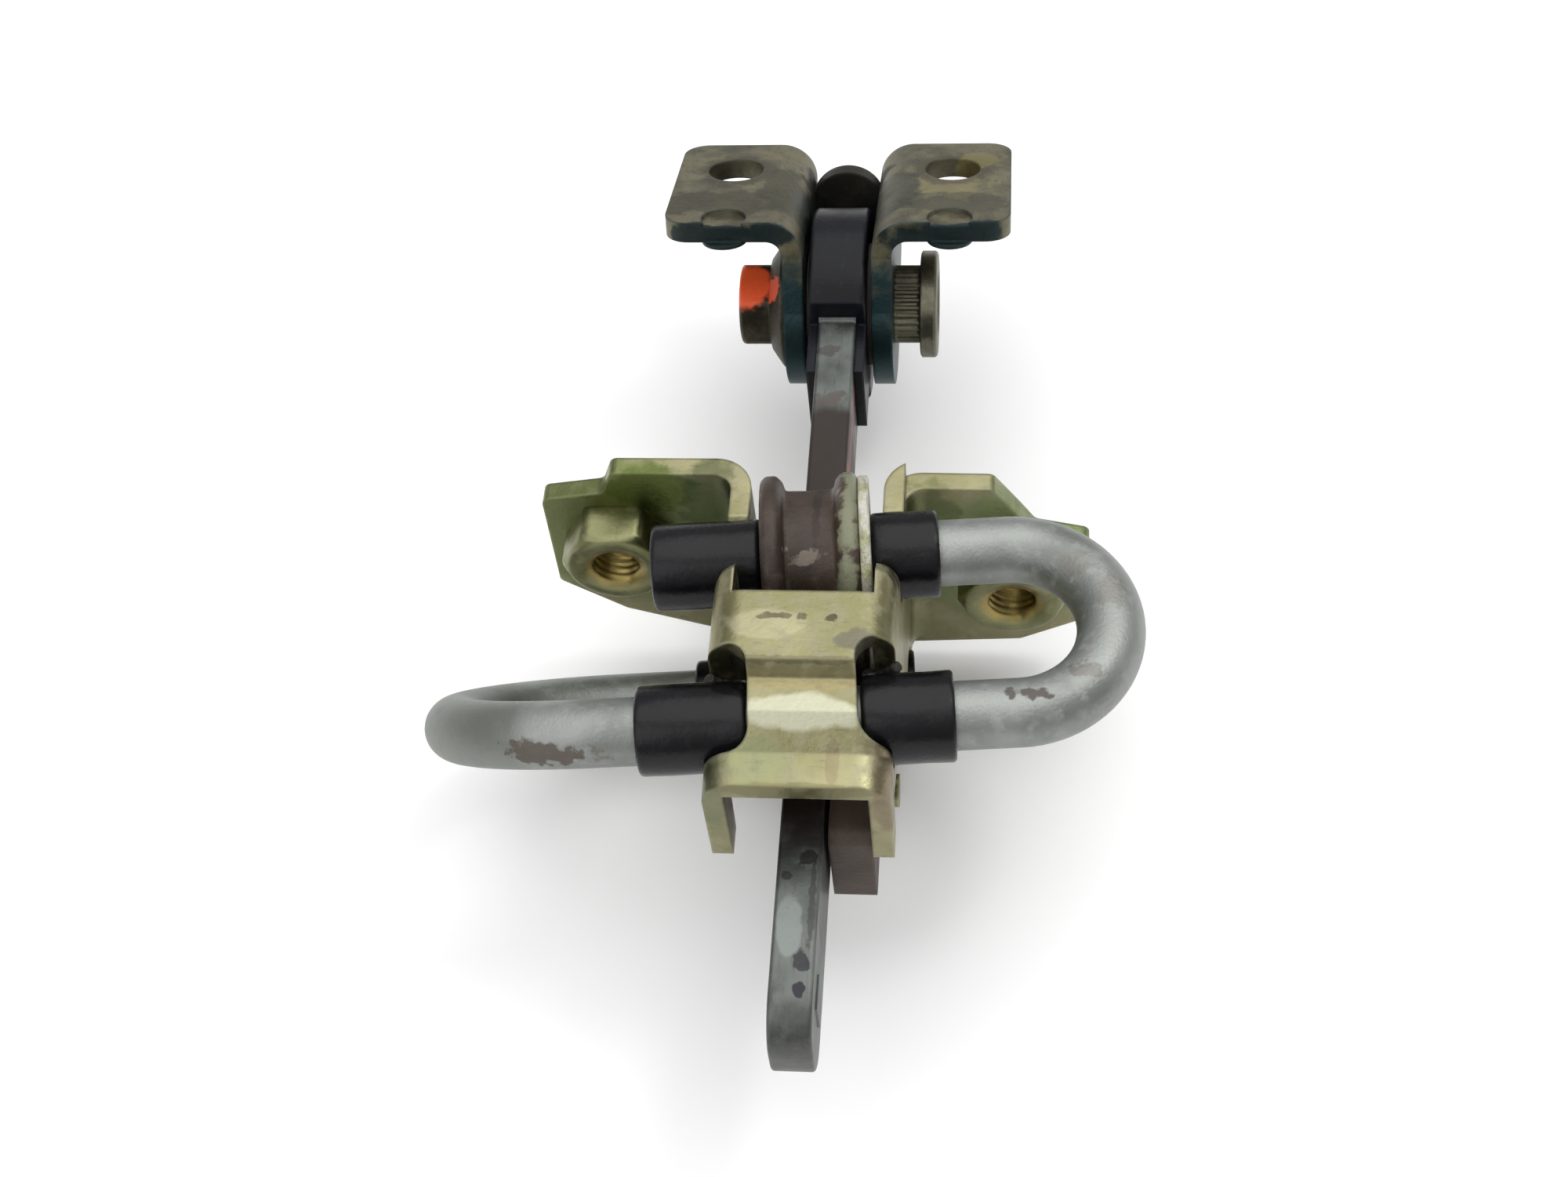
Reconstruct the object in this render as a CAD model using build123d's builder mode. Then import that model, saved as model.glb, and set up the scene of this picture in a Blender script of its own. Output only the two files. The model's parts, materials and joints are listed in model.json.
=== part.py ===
from build123d import *
import math
import os

# Vehicle door check: a flat steel arm on a pillar clevis runs between two grooved
# rollers. The rollers sit on the outer legs of one bent torsion rod, and the rod's
# middle leg is held in a pressed holder that bolts to the door.
#
# Frame, in millimetres: X across the arm, +Y towards the pillar clevis, +Z up.
# The origin is the left door nut's thread axis on the holder's nut seat face.

# ---- driving dimensions -------------------------------------------------------

# Arm and its pivot
PIVOT_Y = 51.0           # pivot axis from the nut seat face, as stored
ARM_REACH = 134.0        # pivot axis to the arm's free end
ARM_T = 6.0              # arm thickness, along X
ARM_H = 16.0             # arm height, along Z
EYE_R = 13.5             # arm's rounded pivot end
NOSE_R = 6.5             # rounding of the free end's upper and lower corners
SWAGE_PROUD = 0.25       # swaged stop ridge at the free end
SWAGE_L = 5.0
COVER_SIDE = 1.6         # plastic cover over the arm's sides
COVER_RIM = 2.3          # plastic cover over the eye's rim
COVER_FACE = 10.5        # cover's square front ahead of the pivot axis
COVER_REACH = 20.0       # how far its side skirts run along the arm

# Pivot hardware
PIN_R = 6.0              # bearing length of the pivot pin
KNURL_R = 6.4
KNURL_PROUD = 4.2        # knurl standing out of the right ear
KNURL_TEETH = 30
PIN_HEAD_R = 8.8
PIN_HEAD_T = 2.8
BUSH_WALL = 2.0
BUSH_FLANGE_R = 10.0
RUN_CLEAR = 0.05         # radial clearance of every running fit
BOLT_R = 4.0
BOLT_HEX_AF = 13.0
BOLT_HEX_T = 5.2
BOLT_FLANGE_R = 10.4
BOLT_FLANGE_T = 2.8

# Pillar clevis
CLEVIS_TILT = 22.0       # flange normal leans back from +Z, as stored
CLEVIS_T = 3.3
EAR_GAP = 11.0           # clear width between the ears
EAR_R = 13.2
FLANGE_H = 19.5          # flange face above the pivot axis
FLANGE_FRONT = 11.0      # flange edge ahead of the pivot axis
FLANGE_BACK = 21.5       # flange edge behind the pivot axis
FLANGE_REACH = 27.6      # flange outer edge from the arm's plane
BEND_IN = 2.5            # inner radius of the flange bend
PILLAR_HOLE_R = 4.6
PILLAR_HOLE_PITCH = 36.0
PILLAR_HOLE_BACK = 10.5  # holes behind the pivot axis
DIMPLE_R = 3.6
DIMPLE_D = 0.6
BRIDGE_GAP = 0.8         # bridge clear of the covered eye
BRIDGE_TOP = 13.0        # bridge's straight sides end here, over the pivot axis
BRIDGE_H = 17.0
BRIDGE_DOME = 3.4        # its domed top edge

# Rollers
ROLLER_Y = -14.2         # roller axes
GROOVE_R = 9.9
GROOVE_W = 7.4
ROLLER_R = 12.3
ROLLER_RIM_T = 3.2
ROLL_CLEAR = 0.2         # groove bottom to arm edge
WASHER_R = 11.9
WASHER_T = 1.5

# Torsion rod
ROD_R = 4.75
ROD_YAW = 4.5            # the rod lies a little askew over the arm
LEG_PITCH = 27.2         # roller leg to middle leg
RIGHT_BEND_X = 27.5      # centre of the right-hand bend
LEFT_BEND_X = -31.0      # centre of the left-hand bend
LEG_END_L = -21.0        # blind end of the front roller leg
LEG_END_R = 12.0         # blind end of the rear roller leg

# Sleeves
SLEEVE_R = 6.3
SLEEVE_SIDE = 0.4        # sleeve clear of the washer or roller beside it
SLEEVE_UP_L = 15.6       # left sleeve of the front roller leg, a blind cap
SLEEVE_UP_R = 9.6
SLEEVE_MID_L = 15.2
SLEEVE_MID_R = 12.6
SLEEVE_REAR = 13.0
CAP_T = 1.8

# Holder
SHEET_T = 3.0
CHANNEL_W = 25.4
WEB_Z = 29.0
WEB_BACK_Y = -27.0       # web edge beside the front roller
WEB_STEP_Y = -38.0       # where the web steps down to the saddle
WEB_STEP = 1.6           # length of that step
WEB_FRONT_Y = -53.7
WEB_FRONT_Z = 22.0
SADDLE_L = 3.0           # saddle's flat crown in front of the rod's axis
SADDLE_HALF = 7.3        # half width of the saddle over the rod
SADDLE_SHIFT = 0.6       # saddle's middle to the right of the arm's plane
SADDLE_GAP = 0.35        # saddle's inside clear of the rod
NOTCH_GAP = 0.45         # walls clear of the sleeves
WALL_TOP_Z = 19.5        # walls between the roller leg and the wings
WING_TOP_Z = 19.5
WALL_LOW_Z = -22.0
WALL_FRONT_Z = 14.5
TAB_W = 4.2              # narrow strips that the walls end in, in front
TAB_Z = 3.0
BEND_OUT = 5.5           # outer radius of the bends into the wings
WEB_BEND = 4.6           # outer radius of the channel's bends
WING_LEFT = 42.7         # wings' outer edges from the arm's mid-plane
WING_RIGHT = 40.0
NUT_PITCH = 60.0         # left nut to right nut, along X
NUT_STAGGER = 8.0        # right nut below the left one
ARM_BESIDE = 31.5        # arm's mid-plane from the left nut
ARM_BELOW = 4.0          # arm's axis below the left nut
NUT_BORE_R = 3.4
NUT_AF = 15.0
NUT_T = 6.5
NUT_PILOT_R = 5.4
NUT_CHAMFER = 0.9

# Side guide
GUIDE_GAP = 0.3          # guide block clear of the arm
GUIDE_L = 18.0
GUIDE_TOP_Z = 6.5
GUIDE_LOW_Z = -11.5
GUIDE_FRONT_Y = -53.0
RIVET_R = 2.4
RIVET_HEAD_R = 4.2
RIVET_HEAD_T = 1.4

# ---- worked-out values --------------------------------------------------------

HALF_T = ARM_T / 2
HALF_H = ARM_H / 2
COVER_HALF = HALF_T + COVER_SIDE
EAR_IN = EAR_GAP / 2
EAR_OUT = EAR_IN + CLEVIS_T
WALL_OUT = CHANNEL_W / 2
WALL_IN = WALL_OUT - SHEET_T
LEG_Z = HALF_H + ROLL_CLEAR + GROOVE_R
ROLLER_HALF = GROOVE_W / 2 + ROLLER_RIM_T
NOTCH_R = SLEEVE_R + NOTCH_GAP
FREE_END_Y = PIVOT_Y - ARM_REACH
ARM_AT = Vector(ARM_BESIDE, 0, -ARM_BELOW)
NUT_SPOTS = {
    "left": (-ARM_BESIDE, ARM_BELOW),
    "right": (NUT_PITCH - ARM_BESIDE, ARM_BELOW - NUT_STAGGER),
}
CUT = 80.0               # longer than anything that it cuts

os.makedirs("parts", exist_ok=True)


def save(part, name):
    """Label one finished piece and write it as parts/NAME.step."""
    part.label = name
    export_step(part, f"parts/{name}.step")
    print(name, round(part.volume, 1))


# ---- planes -------------------------------------------------------------------
# Sketches are placed from the arm: x from its mid-plane and z from its axis.

TILT = math.radians(CLEVIS_TILT)
YAW = math.radians(ROD_YAW)
ROD_X = Vector(math.cos(YAW), math.sin(YAW), 0)
ROD_Y = Vector(-math.sin(YAW), math.cos(YAW), 0)
PIVOT_AT = ARM_AT + Vector(0, PIVOT_Y, 0)


def from_arm(shape):
    """Middle of a shape, measured from the arm's mid-plane and axis."""
    return shape.center() - ARM_AT


def side(x):
    """Plane across X: sketch x runs along +Y and sketch y along +Z."""
    return Plane(origin=ARM_AT + Vector(x, 0, 0), x_dir=(0, 1, 0), z_dir=(1, 0, 0))


def pivot_side(x):
    """Plane across X with its origin on the pivot axis."""
    return Plane(origin=PIVOT_AT + Vector(x, 0, 0), x_dir=(0, 1, 0), z_dir=(1, 0, 0))


def clevis_side(x):
    """Plane across X in the clevis's own tilt: sketch y is the flange normal."""
    back = (0, math.cos(TILT), -math.sin(TILT))
    return Plane(origin=PIVOT_AT + Vector(x, 0, 0), x_dir=back, z_dir=(1, 0, 0))


def clevis_flat(h):
    """Plane parallel to the clevis flanges at height h over the pivot axis."""
    up = Vector(0, math.sin(TILT), math.cos(TILT))
    return Plane(origin=PIVOT_AT + up * h, x_dir=(1, 0, 0), z_dir=up)


def clevis_section(back):
    """Plane across the clevis, back behind the pivot: sketch y is the flange normal."""
    origin = PIVOT_AT + Vector(0, math.cos(TILT), -math.sin(TILT)) * back
    return Plane(origin=origin, x_dir=(1, 0, 0), z_dir=(0, -math.cos(TILT), math.sin(TILT)))


def facing(y):
    """Plane across Y that extrudes towards the free end: sketch y is +Z."""
    return Plane(origin=ARM_AT + Vector(0, y, 0), x_dir=(1, 0, 0), z_dir=(0, -1, 0))


def rod_side(x, leg_y=0.0, leg_z=0.0):
    """Plane across the rod's own X at distance x, centred on the leg given."""
    origin = ARM_AT + Vector(0, ROLLER_Y, leg_z) + ROD_X * x + ROD_Y * leg_y
    return Plane(origin=origin, x_dir=ROD_Y, z_dir=ROD_X)


FRONT_LEG = (0.0, LEG_Z)
MIDDLE_LEG = (-LEG_PITCH, LEG_Z)
REAR_LEG = (0.0, -LEG_Z)

# The saddle's middle on the middle leg, along the rod's own X.
MIDDLE_X = SADDLE_SHIFT - LEG_PITCH * math.tan(YAW)


# ---- arm ----------------------------------------------------------------------

with BuildPart() as check_arm:
    with BuildSketch(pivot_side(-HALF_T)):
        Circle(EYE_R)
        with BuildLine():
            Line((0, HALF_H), (-ARM_REACH + NOSE_R, HALF_H))
            TangentArc((-ARM_REACH + NOSE_R, HALF_H), (-ARM_REACH, HALF_H - NOSE_R), tangent=(-1, 0))
            Line((-ARM_REACH, HALF_H - NOSE_R), (-ARM_REACH, -HALF_H + NOSE_R))
            TangentArc((-ARM_REACH, -HALF_H + NOSE_R), (-ARM_REACH + NOSE_R, -HALF_H), tangent=(0, -1))
            Polyline(
                (-ARM_REACH + NOSE_R, -HALF_H),
                (0, -HALF_H),
                (0, HALF_H),
            )
        make_face()
        Circle(PIN_R + RUN_CLEAR + BUSH_WALL, mode=Mode.SUBTRACT)
    extrude(amount=ARM_T)
    # Swaged ridges that stop the holder at the arm's free end.
    with BuildSketch(facing(FREE_END_Y + NOSE_R + SWAGE_L)):
        Rectangle(ARM_T + 2 * SWAGE_PROUD, ARM_H - 2 * SWAGE_L)
    extrude(amount=SWAGE_L)
    long_edges = check_arm.edges().filter_by(Axis.Y).group_by(SortBy.LENGTH)[-1]
    fillet(long_edges, 0.5)
save(check_arm.part, "check_arm")

with BuildPart() as arm_cover:
    # Drum over the eye, cut off square in front.
    with BuildSketch(pivot_side(-COVER_HALF)):
        Circle(EYE_R + COVER_RIM)
        with Locations((-COVER_FACE - EYE_R, 0)):
            Rectangle(2 * EYE_R, 4 * EYE_R, mode=Mode.SUBTRACT)
    extrude(amount=2 * COVER_HALF)
    fillet(arm_cover.edges().filter_by(GeomType.CIRCLE), 0.8)
    # Thin skirts that carry on along the arm's two sides.
    with BuildSketch(pivot_side(-COVER_HALF)):
        with Locations((-(COVER_FACE + COVER_REACH) / 2, 0)):
            Rectangle(COVER_REACH - COVER_FACE + 1.0, ARM_H - 2.4)
    extrude(amount=2 * COVER_HALF)
    with BuildSketch(pivot_side(-COVER_HALF)):
        Circle(BUSH_FLANGE_R + 0.2)
    extrude(amount=2 * COVER_HALF, mode=Mode.SUBTRACT)
    add(check_arm.part, mode=Mode.SUBTRACT)
save(arm_cover.part, "arm_cover")

for hand, sign in (("left", -1), ("right", 1)):
    with BuildPart() as pivot_bush:
        flange_out = EAR_IN - 0.25
        with BuildSketch(pivot_side(0)):
            Circle(PIN_R + RUN_CLEAR + BUSH_WALL)
        extrude(amount=sign * HALF_T)
        with BuildSketch(pivot_side(sign * HALF_T)):
            Circle(BUSH_FLANGE_R)
        extrude(amount=sign * (flange_out - HALF_T))
        with BuildSketch(pivot_side(0)):
            Circle(PIN_R + RUN_CLEAR)
        extrude(amount=sign * flange_out, mode=Mode.SUBTRACT)
    save(pivot_bush.part, f"pivot_bush_{hand}")


# ---- pivot pin and bolt ---------------------------------------------------------

with BuildPart() as pivot_pin:
    with BuildSketch(pivot_side(-EAR_IN)):
        Circle(PIN_R)
    extrude(amount=2 * EAR_IN)
    with BuildSketch(pivot_side(EAR_IN)):
        Circle(KNURL_R)
    extrude(amount=CLEVIS_T)
    # Knurl: V grooves round the length that stands out of the ear.
    with BuildSketch(pivot_side(EAR_OUT)):
        Circle(KNURL_R)
        with PolarLocations(KNURL_R, KNURL_TEETH):
            RegularPolygon(0.45, 3, rotation=180, mode=Mode.SUBTRACT)
    extrude(amount=KNURL_PROUD)
    with BuildSketch(pivot_side(EAR_OUT + KNURL_PROUD)):
        Circle(PIN_HEAD_R)
    extrude(amount=PIN_HEAD_T)
    head_rim = pivot_pin.faces().sort_by(Axis.X)[-1].edges()
    chamfer(head_rim, 0.5)
    with BuildSketch(pivot_side(-EAR_IN)):
        Circle(BOLT_R)
    extrude(amount=2 * EAR_IN + CLEVIS_T, mode=Mode.SUBTRACT)
save(pivot_pin.part, "pivot_pin")

with BuildPart() as pivot_bolt:
    with BuildSketch(pivot_side(EAR_IN - 1.0)):
        Circle(BOLT_R)
    extrude(amount=-(EAR_IN - 1.0 + EAR_OUT))
    with BuildSketch(pivot_side(-EAR_OUT)):
        Circle(BOLT_FLANGE_R)
    extrude(amount=-0.9)
    with BuildSketch(pivot_side(-EAR_OUT - 0.9)):
        Circle(BOLT_FLANGE_R)
    extrude(amount=-(BOLT_FLANGE_T - 0.9), taper=45)
    with BuildSketch(pivot_side(-EAR_OUT - 0.9)):
        RegularPolygon(BOLT_HEX_AF / 2, 6, major_radius=False, rotation=13)
    extrude(amount=-(BOLT_FLANGE_T - 0.9 + BOLT_HEX_T))
    top_edges = pivot_bolt.faces().sort_by(Axis.X)[0].edges()
    chamfer(top_edges, 0.7)
save(pivot_bolt.part, "pivot_bolt")


# ---- pillar clevis --------------------------------------------------------------

with BuildPart() as clevis_bracket:
    root = FLANGE_H - CLEVIS_T - BEND_IN - 0.5
    for sign in (-1, 1):
        # Ear: round about the pivot, straight up to the flange's bend.
        with BuildSketch(clevis_side(sign * EAR_IN)):
            Circle(EAR_R)
            with BuildLine():
                Polyline(
                    (-EAR_R, 0),
                    (-FLANGE_FRONT, root),
                    (FLANGE_BACK, root),
                    (FLANGE_BACK, 3.0),
                    (EAR_R * 0.8, -EAR_R * 0.6),
                    (0, 0),
                    close=True,
                )
            make_face()
        extrude(amount=sign * CLEVIS_T)
        # Flange and its bend out of the ear, as one bent section.
        with BuildSketch(clevis_section(FLANGE_BACK)):
            with BuildLine():
                Polyline(
                    (sign * EAR_IN, root),
                    (sign * EAR_IN, FLANGE_H),
                    (sign * FLANGE_REACH, FLANGE_H),
                    (sign * FLANGE_REACH, FLANGE_H - CLEVIS_T),
                    (sign * EAR_OUT, FLANGE_H - CLEVIS_T),
                    (sign * EAR_OUT, root),
                    close=True,
                )
            make_face()
            outer = vertices().sort_by_distance((sign * EAR_IN, FLANGE_H, 0))[0]
            fillet(outer, BEND_IN + CLEVIS_T)
            inner = vertices().sort_by_distance((sign * EAR_OUT, FLANGE_H - CLEVIS_T, 0))[0]
            fillet(inner, BEND_IN)
        extrude(amount=FLANGE_FRONT + FLANGE_BACK)
    # Bridge that joins the ears behind the arm's eye.
    bridge_y = EYE_R + COVER_RIM + BRIDGE_GAP
    with BuildSketch(clevis_section(bridge_y + CLEVIS_T)):
        with BuildLine():
            Line((-EAR_IN, BRIDGE_TOP - BRIDGE_H), (-EAR_IN, BRIDGE_TOP))
            ThreePointArc((-EAR_IN, BRIDGE_TOP), (0, BRIDGE_TOP + BRIDGE_DOME), (EAR_IN, BRIDGE_TOP))
            Line((EAR_IN, BRIDGE_TOP), (EAR_IN, BRIDGE_TOP - BRIDGE_H))
            Line((EAR_IN, BRIDGE_TOP - BRIDGE_H), (-EAR_IN, BRIDGE_TOP - BRIDGE_H))
        make_face()
    extrude(amount=CLEVIS_T)
    # Rounded flange corners.
    high = clevis_side(0).y_dir
    normal_axis = Axis(origin=tuple(PIVOT_AT), direction=tuple(high))
    corners = clevis_bracket.edges().filter_by(normal_axis)
    corners = corners.filter_by(lambda e: abs(from_arm(e).X) > FLANGE_REACH - 0.1)
    fillet(corners, 4.0)
    # Pillar bolt holes and the half-sheared locating dimples.
    with BuildSketch(clevis_flat(FLANGE_H)):
        with Locations(*[(s * PILLAR_HOLE_PITCH / 2, PILLAR_HOLE_BACK) for s in (-1, 1)]):
            Circle(PILLAR_HOLE_R)
    extrude(amount=-CLEVIS_T, mode=Mode.SUBTRACT)
    with BuildSketch(clevis_flat(FLANGE_H)):
        with Locations(*[(s * PILLAR_HOLE_PITCH / 2, -FLANGE_FRONT + DIMPLE_R * 0.55) for s in (-1, 1)]):
            Circle(DIMPLE_R)
    extrude(amount=-DIMPLE_D, mode=Mode.SUBTRACT)
    with BuildSketch(clevis_flat(FLANGE_H - CLEVIS_T)):
        with Locations(*[(s * PILLAR_HOLE_PITCH / 2, -FLANGE_FRONT + DIMPLE_R * 0.55) for s in (-1, 1)]):
            Circle(DIMPLE_R)
    extrude(amount=-DIMPLE_D)
    # Left ear takes the bolt, right ear the pin's knurl.
    with BuildSketch(pivot_side(-EAR_OUT)):
        Circle(BOLT_R)
    extrude(amount=CLEVIS_T, mode=Mode.SUBTRACT)
    with BuildSketch(pivot_side(EAR_OUT)):
        Circle(KNURL_R)
    extrude(amount=-CLEVIS_T, mode=Mode.SUBTRACT)
save(clevis_bracket.part, "clevis_bracket")


# ---- torsion rod ----------------------------------------------------------------

def rod_point(x, leg):
    """Point on a leg's centre line, x along the rod's own X."""
    return ARM_AT + Vector(0, ROLLER_Y, leg[1]) + ROD_X * x + ROD_Y * leg[0]


with BuildPart() as torsion_rod:
    with BuildLine() as rod_line:
        Line(rod_point(LEG_END_L, FRONT_LEG), rod_point(RIGHT_BEND_X, FRONT_LEG))
        right_apex = (rod_point(RIGHT_BEND_X, FRONT_LEG) + rod_point(RIGHT_BEND_X, MIDDLE_LEG)) * 0.5
        ThreePointArc(
            rod_point(RIGHT_BEND_X, FRONT_LEG),
            right_apex + ROD_X * (LEG_PITCH / 2),
            rod_point(RIGHT_BEND_X, MIDDLE_LEG),
        )
        Line(rod_point(RIGHT_BEND_X, MIDDLE_LEG), rod_point(LEFT_BEND_X, MIDDLE_LEG))
        left_apex = (rod_point(LEFT_BEND_X, MIDDLE_LEG) + rod_point(LEFT_BEND_X, REAR_LEG)) * 0.5
        left_radius = math.hypot(LEG_PITCH, 2 * LEG_Z) / 2
        ThreePointArc(
            rod_point(LEFT_BEND_X, MIDDLE_LEG),
            left_apex - ROD_X * left_radius,
            rod_point(LEFT_BEND_X, REAR_LEG),
        )
        Line(rod_point(LEFT_BEND_X, REAR_LEG), rod_point(LEG_END_R, REAR_LEG))
    with BuildSketch(rod_side(LEG_END_L, *FRONT_LEG)):
        Circle(ROD_R)
    sweep(path=rod_line.wire())
save(torsion_rod.part, "torsion_rod")


# ---- rollers, washers and sleeves -----------------------------------------------

def make_roller(name, leg):
    """Grooved roller, with its rims' corners broken, bored to run on the rod."""
    with BuildPart() as roller:
        with BuildSketch(rod_side(-ROLLER_HALF, *leg)):
            Circle(ROLLER_R)
        extrude(amount=ROLLER_RIM_T)
        with BuildSketch(rod_side(-GROOVE_W / 2, *leg)):
            Circle(GROOVE_R)
        extrude(amount=GROOVE_W)
        with BuildSketch(rod_side(GROOVE_W / 2, *leg)):
            Circle(ROLLER_R)
        extrude(amount=ROLLER_RIM_T)
        rims = roller.edges().filter_by(GeomType.CIRCLE).filter_by(lambda e: e.radius > ROLLER_R - 0.1)
        chamfer(rims, 0.6)
        with BuildSketch(rod_side(-ROLLER_HALF, *leg)):
            Circle(ROD_R + RUN_CLEAR)
        extrude(amount=2 * ROLLER_HALF, mode=Mode.SUBTRACT)
    save(roller.part, name)


def make_ring(name, leg, start, length, radius, cap=0.0, edge=0.0):
    """Round piece on the rod; cap closes its outer end with that thickness."""
    with BuildPart() as ring:
        with BuildSketch(rod_side(start, *leg)):
            Circle(radius)
        extrude(amount=length)
        if edge:
            fillet(ring.edges().filter_by(GeomType.CIRCLE), edge)
        with BuildSketch(rod_side(start, *leg)):
            Circle(ROD_R)
        bore = math.copysign(abs(length) - cap, length)
        extrude(amount=bore, mode=Mode.SUBTRACT)
    save(ring.part, name)


washer_x = ROLLER_HALF + RUN_CLEAR
sleeve_x = washer_x + WASHER_T
make_roller("front_roller", FRONT_LEG)
make_roller("rear_roller", REAR_LEG)
make_ring("front_washer", FRONT_LEG, washer_x, WASHER_T, WASHER_R)
make_ring("rear_washer", REAR_LEG, washer_x, WASHER_T, WASHER_R)
make_ring("front_sleeve_left", FRONT_LEG, -ROLLER_HALF - SLEEVE_SIDE, -SLEEVE_UP_L, SLEEVE_R,
          cap=ROLLER_HALF + SLEEVE_SIDE + SLEEVE_UP_L + LEG_END_L, edge=0.7)
make_ring("front_sleeve_right", FRONT_LEG, sleeve_x, SLEEVE_UP_R, SLEEVE_R, edge=0.7)
middle_in = SADDLE_HALF + SLEEVE_SIDE
make_ring("middle_sleeve_left", MIDDLE_LEG, MIDDLE_X - middle_in, -SLEEVE_MID_L, SLEEVE_R, edge=0.7)
make_ring("middle_sleeve_right", MIDDLE_LEG, MIDDLE_X + middle_in, SLEEVE_MID_R, SLEEVE_R, edge=0.7)
make_ring("rear_sleeve_left", REAR_LEG, -ROLLER_HALF - SLEEVE_SIDE, -SLEEVE_REAR, SLEEVE_R, edge=0.7)
make_ring("rear_sleeve_right", REAR_LEG, sleeve_x, LEG_END_R + CAP_T - sleeve_x, SLEEVE_R,
          cap=CAP_T, edge=0.7)


# ---- holder ---------------------------------------------------------------------

MIDDLE_Y = ROLLER_Y - LEG_PITCH / math.cos(YAW)
SADDLE_R = ROD_R + SADDLE_GAP + SHEET_T


def web_line(drop):
    """Points of the web's surface from back to front, drop below its outside."""
    crown = LEG_Z + SADDLE_R + 0.25
    return [
        (WEB_BACK_Y, WEB_Z - drop),
        (WEB_STEP_Y + 0.4 * drop, WEB_Z - drop),
        (WEB_STEP_Y - WEB_STEP + 0.3 * drop, crown - drop),
        (MIDDLE_Y - SADDLE_L, crown - drop),
        (MIDDLE_Y - SADDLE_L - 4.6, WEB_FRONT_Z + 1.0 - drop),
        (WEB_FRONT_Y, WEB_FRONT_Z - drop),
    ]


with BuildPart() as holder_bracket:
    # Walls and web as one block with the channel's side outline.
    with BuildSketch(side(-WALL_OUT)):
        with BuildLine():
            Polyline(
                *web_line(0),
                (WEB_FRONT_Y, TAB_Z),
                (WEB_FRONT_Y + TAB_W, TAB_Z),
                (WEB_FRONT_Y + TAB_W + 0.8, WALL_FRONT_Z - 3.0),
                (MIDDLE_Y + 6.0, 4.0),
                (ROLLER_Y - 13.0, WALL_LOW_Z + 5.0),
                (ROLLER_Y - 9.0, WALL_LOW_Z),
                (SHEET_T, WALL_LOW_Z),
                (SHEET_T, WALL_TOP_Z),
                (ROLLER_Y + NOTCH_R, WALL_TOP_Z),
                (ROLLER_Y, LEG_Z - 4.0),
                (ROLLER_Y - NOTCH_R - 0.2, WEB_Z - 1.5),
                (ROLLER_Y - NOTCH_R - 2.0, WEB_Z),
                close=True,
            )
        make_face()
    extrude(amount=2 * WALL_OUT)
    # Outer bends of the channel.
    web_bends = holder_bracket.edges().filter_by(
        lambda e: abs(abs(from_arm(e).X) - WALL_OUT) < 0.1
        and from_arm(e).Z > WEB_FRONT_Z - 1.0
        and e.center().Y < ROLLER_Y - NOTCH_R - 1.0
        and abs((e @ 0).X - (e @ 1).X) < 0.1
        and abs((e @ 0).Y - (e @ 1).Y) > 1.0
    )
    fillet(web_bends, WEB_BEND)
    # Inside of the channel, open below and at both ends.
    with BuildSketch(side(-WALL_IN)):
        with BuildLine():
            Polyline(
                (WEB_BACK_Y, CUT),
                *web_line(SHEET_T),
                (WEB_FRONT_Y - 5.0, WEB_FRONT_Z - SHEET_T),
                (WEB_FRONT_Y - 5.0, -CUT),
                (SHEET_T + 5.0, -CUT),
                (SHEET_T + 5.0, CUT),
                close=True,
            )
        make_face()
    extrude(amount=2 * WALL_IN, mode=Mode.SUBTRACT)
    # Wings, bent outwards from the walls' back ends.
    left_wing = [
        (-WALL_IN, WING_TOP_Z),
        (-31.0, WING_TOP_Z),
        (-32.8, WING_TOP_Z - 4.8),
        (-WING_LEFT + 0.4, WING_TOP_Z - 6.6),
        (-WING_LEFT, -8.0),
        (-33.0, -15.7),
        (-17.0, WALL_LOW_Z),
        (-WALL_IN, WALL_LOW_Z),
    ]
    right_wing = [
        (WALL_IN, WING_TOP_Z - 3.0),
        (25.4, WING_TOP_Z - 3.2),
        (29.6, WING_TOP_Z - 10.1),
        (31.8, WING_TOP_Z - 14.0),
        (WING_RIGHT, WING_TOP_Z - 16.2),
        (WING_RIGHT, -17.0),
        (30.0, -23.0),
        (WALL_IN, WALL_LOW_Z - 2.5),
    ]
    for outline in (left_wing, right_wing):
        with BuildSketch(facing(SHEET_T)):
            with BuildLine():
                Polyline(*outline, close=True)
            make_face()
            fillet(vertices().filter_by(lambda v: abs(v.X) > WALL_OUT + 5.0), 1.4)
        extrude(amount=SHEET_T)
    # Bends from wall to wing.
    upright = holder_bracket.edges().filter_by(Axis.Z)
    fillet(upright.filter_by(lambda e: abs(abs(from_arm(e).X) - WALL_IN) < 0.1
                             and e.center().Y > SHEET_T - 0.1), BEND_OUT)
    upright = holder_bracket.edges().filter_by(Axis.Z)
    fillet(upright.filter_by(lambda e: abs(abs(from_arm(e).X) - WALL_OUT) < 0.1
                             and abs(e.center().Y) < 0.1), BEND_OUT - SHEET_T + 0.4)
    # Slots in the walls for the sleeves of the three legs.
    for leg, up, inner_x in ((FRONT_LEG, 1, None), (MIDDLE_LEG, 1, SADDLE_HALF), (REAR_LEG, -1, None)):
        for sign in (-1, 1):
            start = sign * (inner_x or 0.0) + (MIDDLE_X if leg is MIDDLE_LEG else 0.0)
            with BuildSketch(rod_side(start, *leg)):
                Circle(NOTCH_R)
                if leg is not MIDDLE_LEG:
                    with Locations((0, up * CUT / 4)):
                        Rectangle(2 * NOTCH_R, CUT / 2)
            extrude(amount=sign * 24.0, mode=Mode.SUBTRACT)
            if leg is MIDDLE_LEG:
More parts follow.
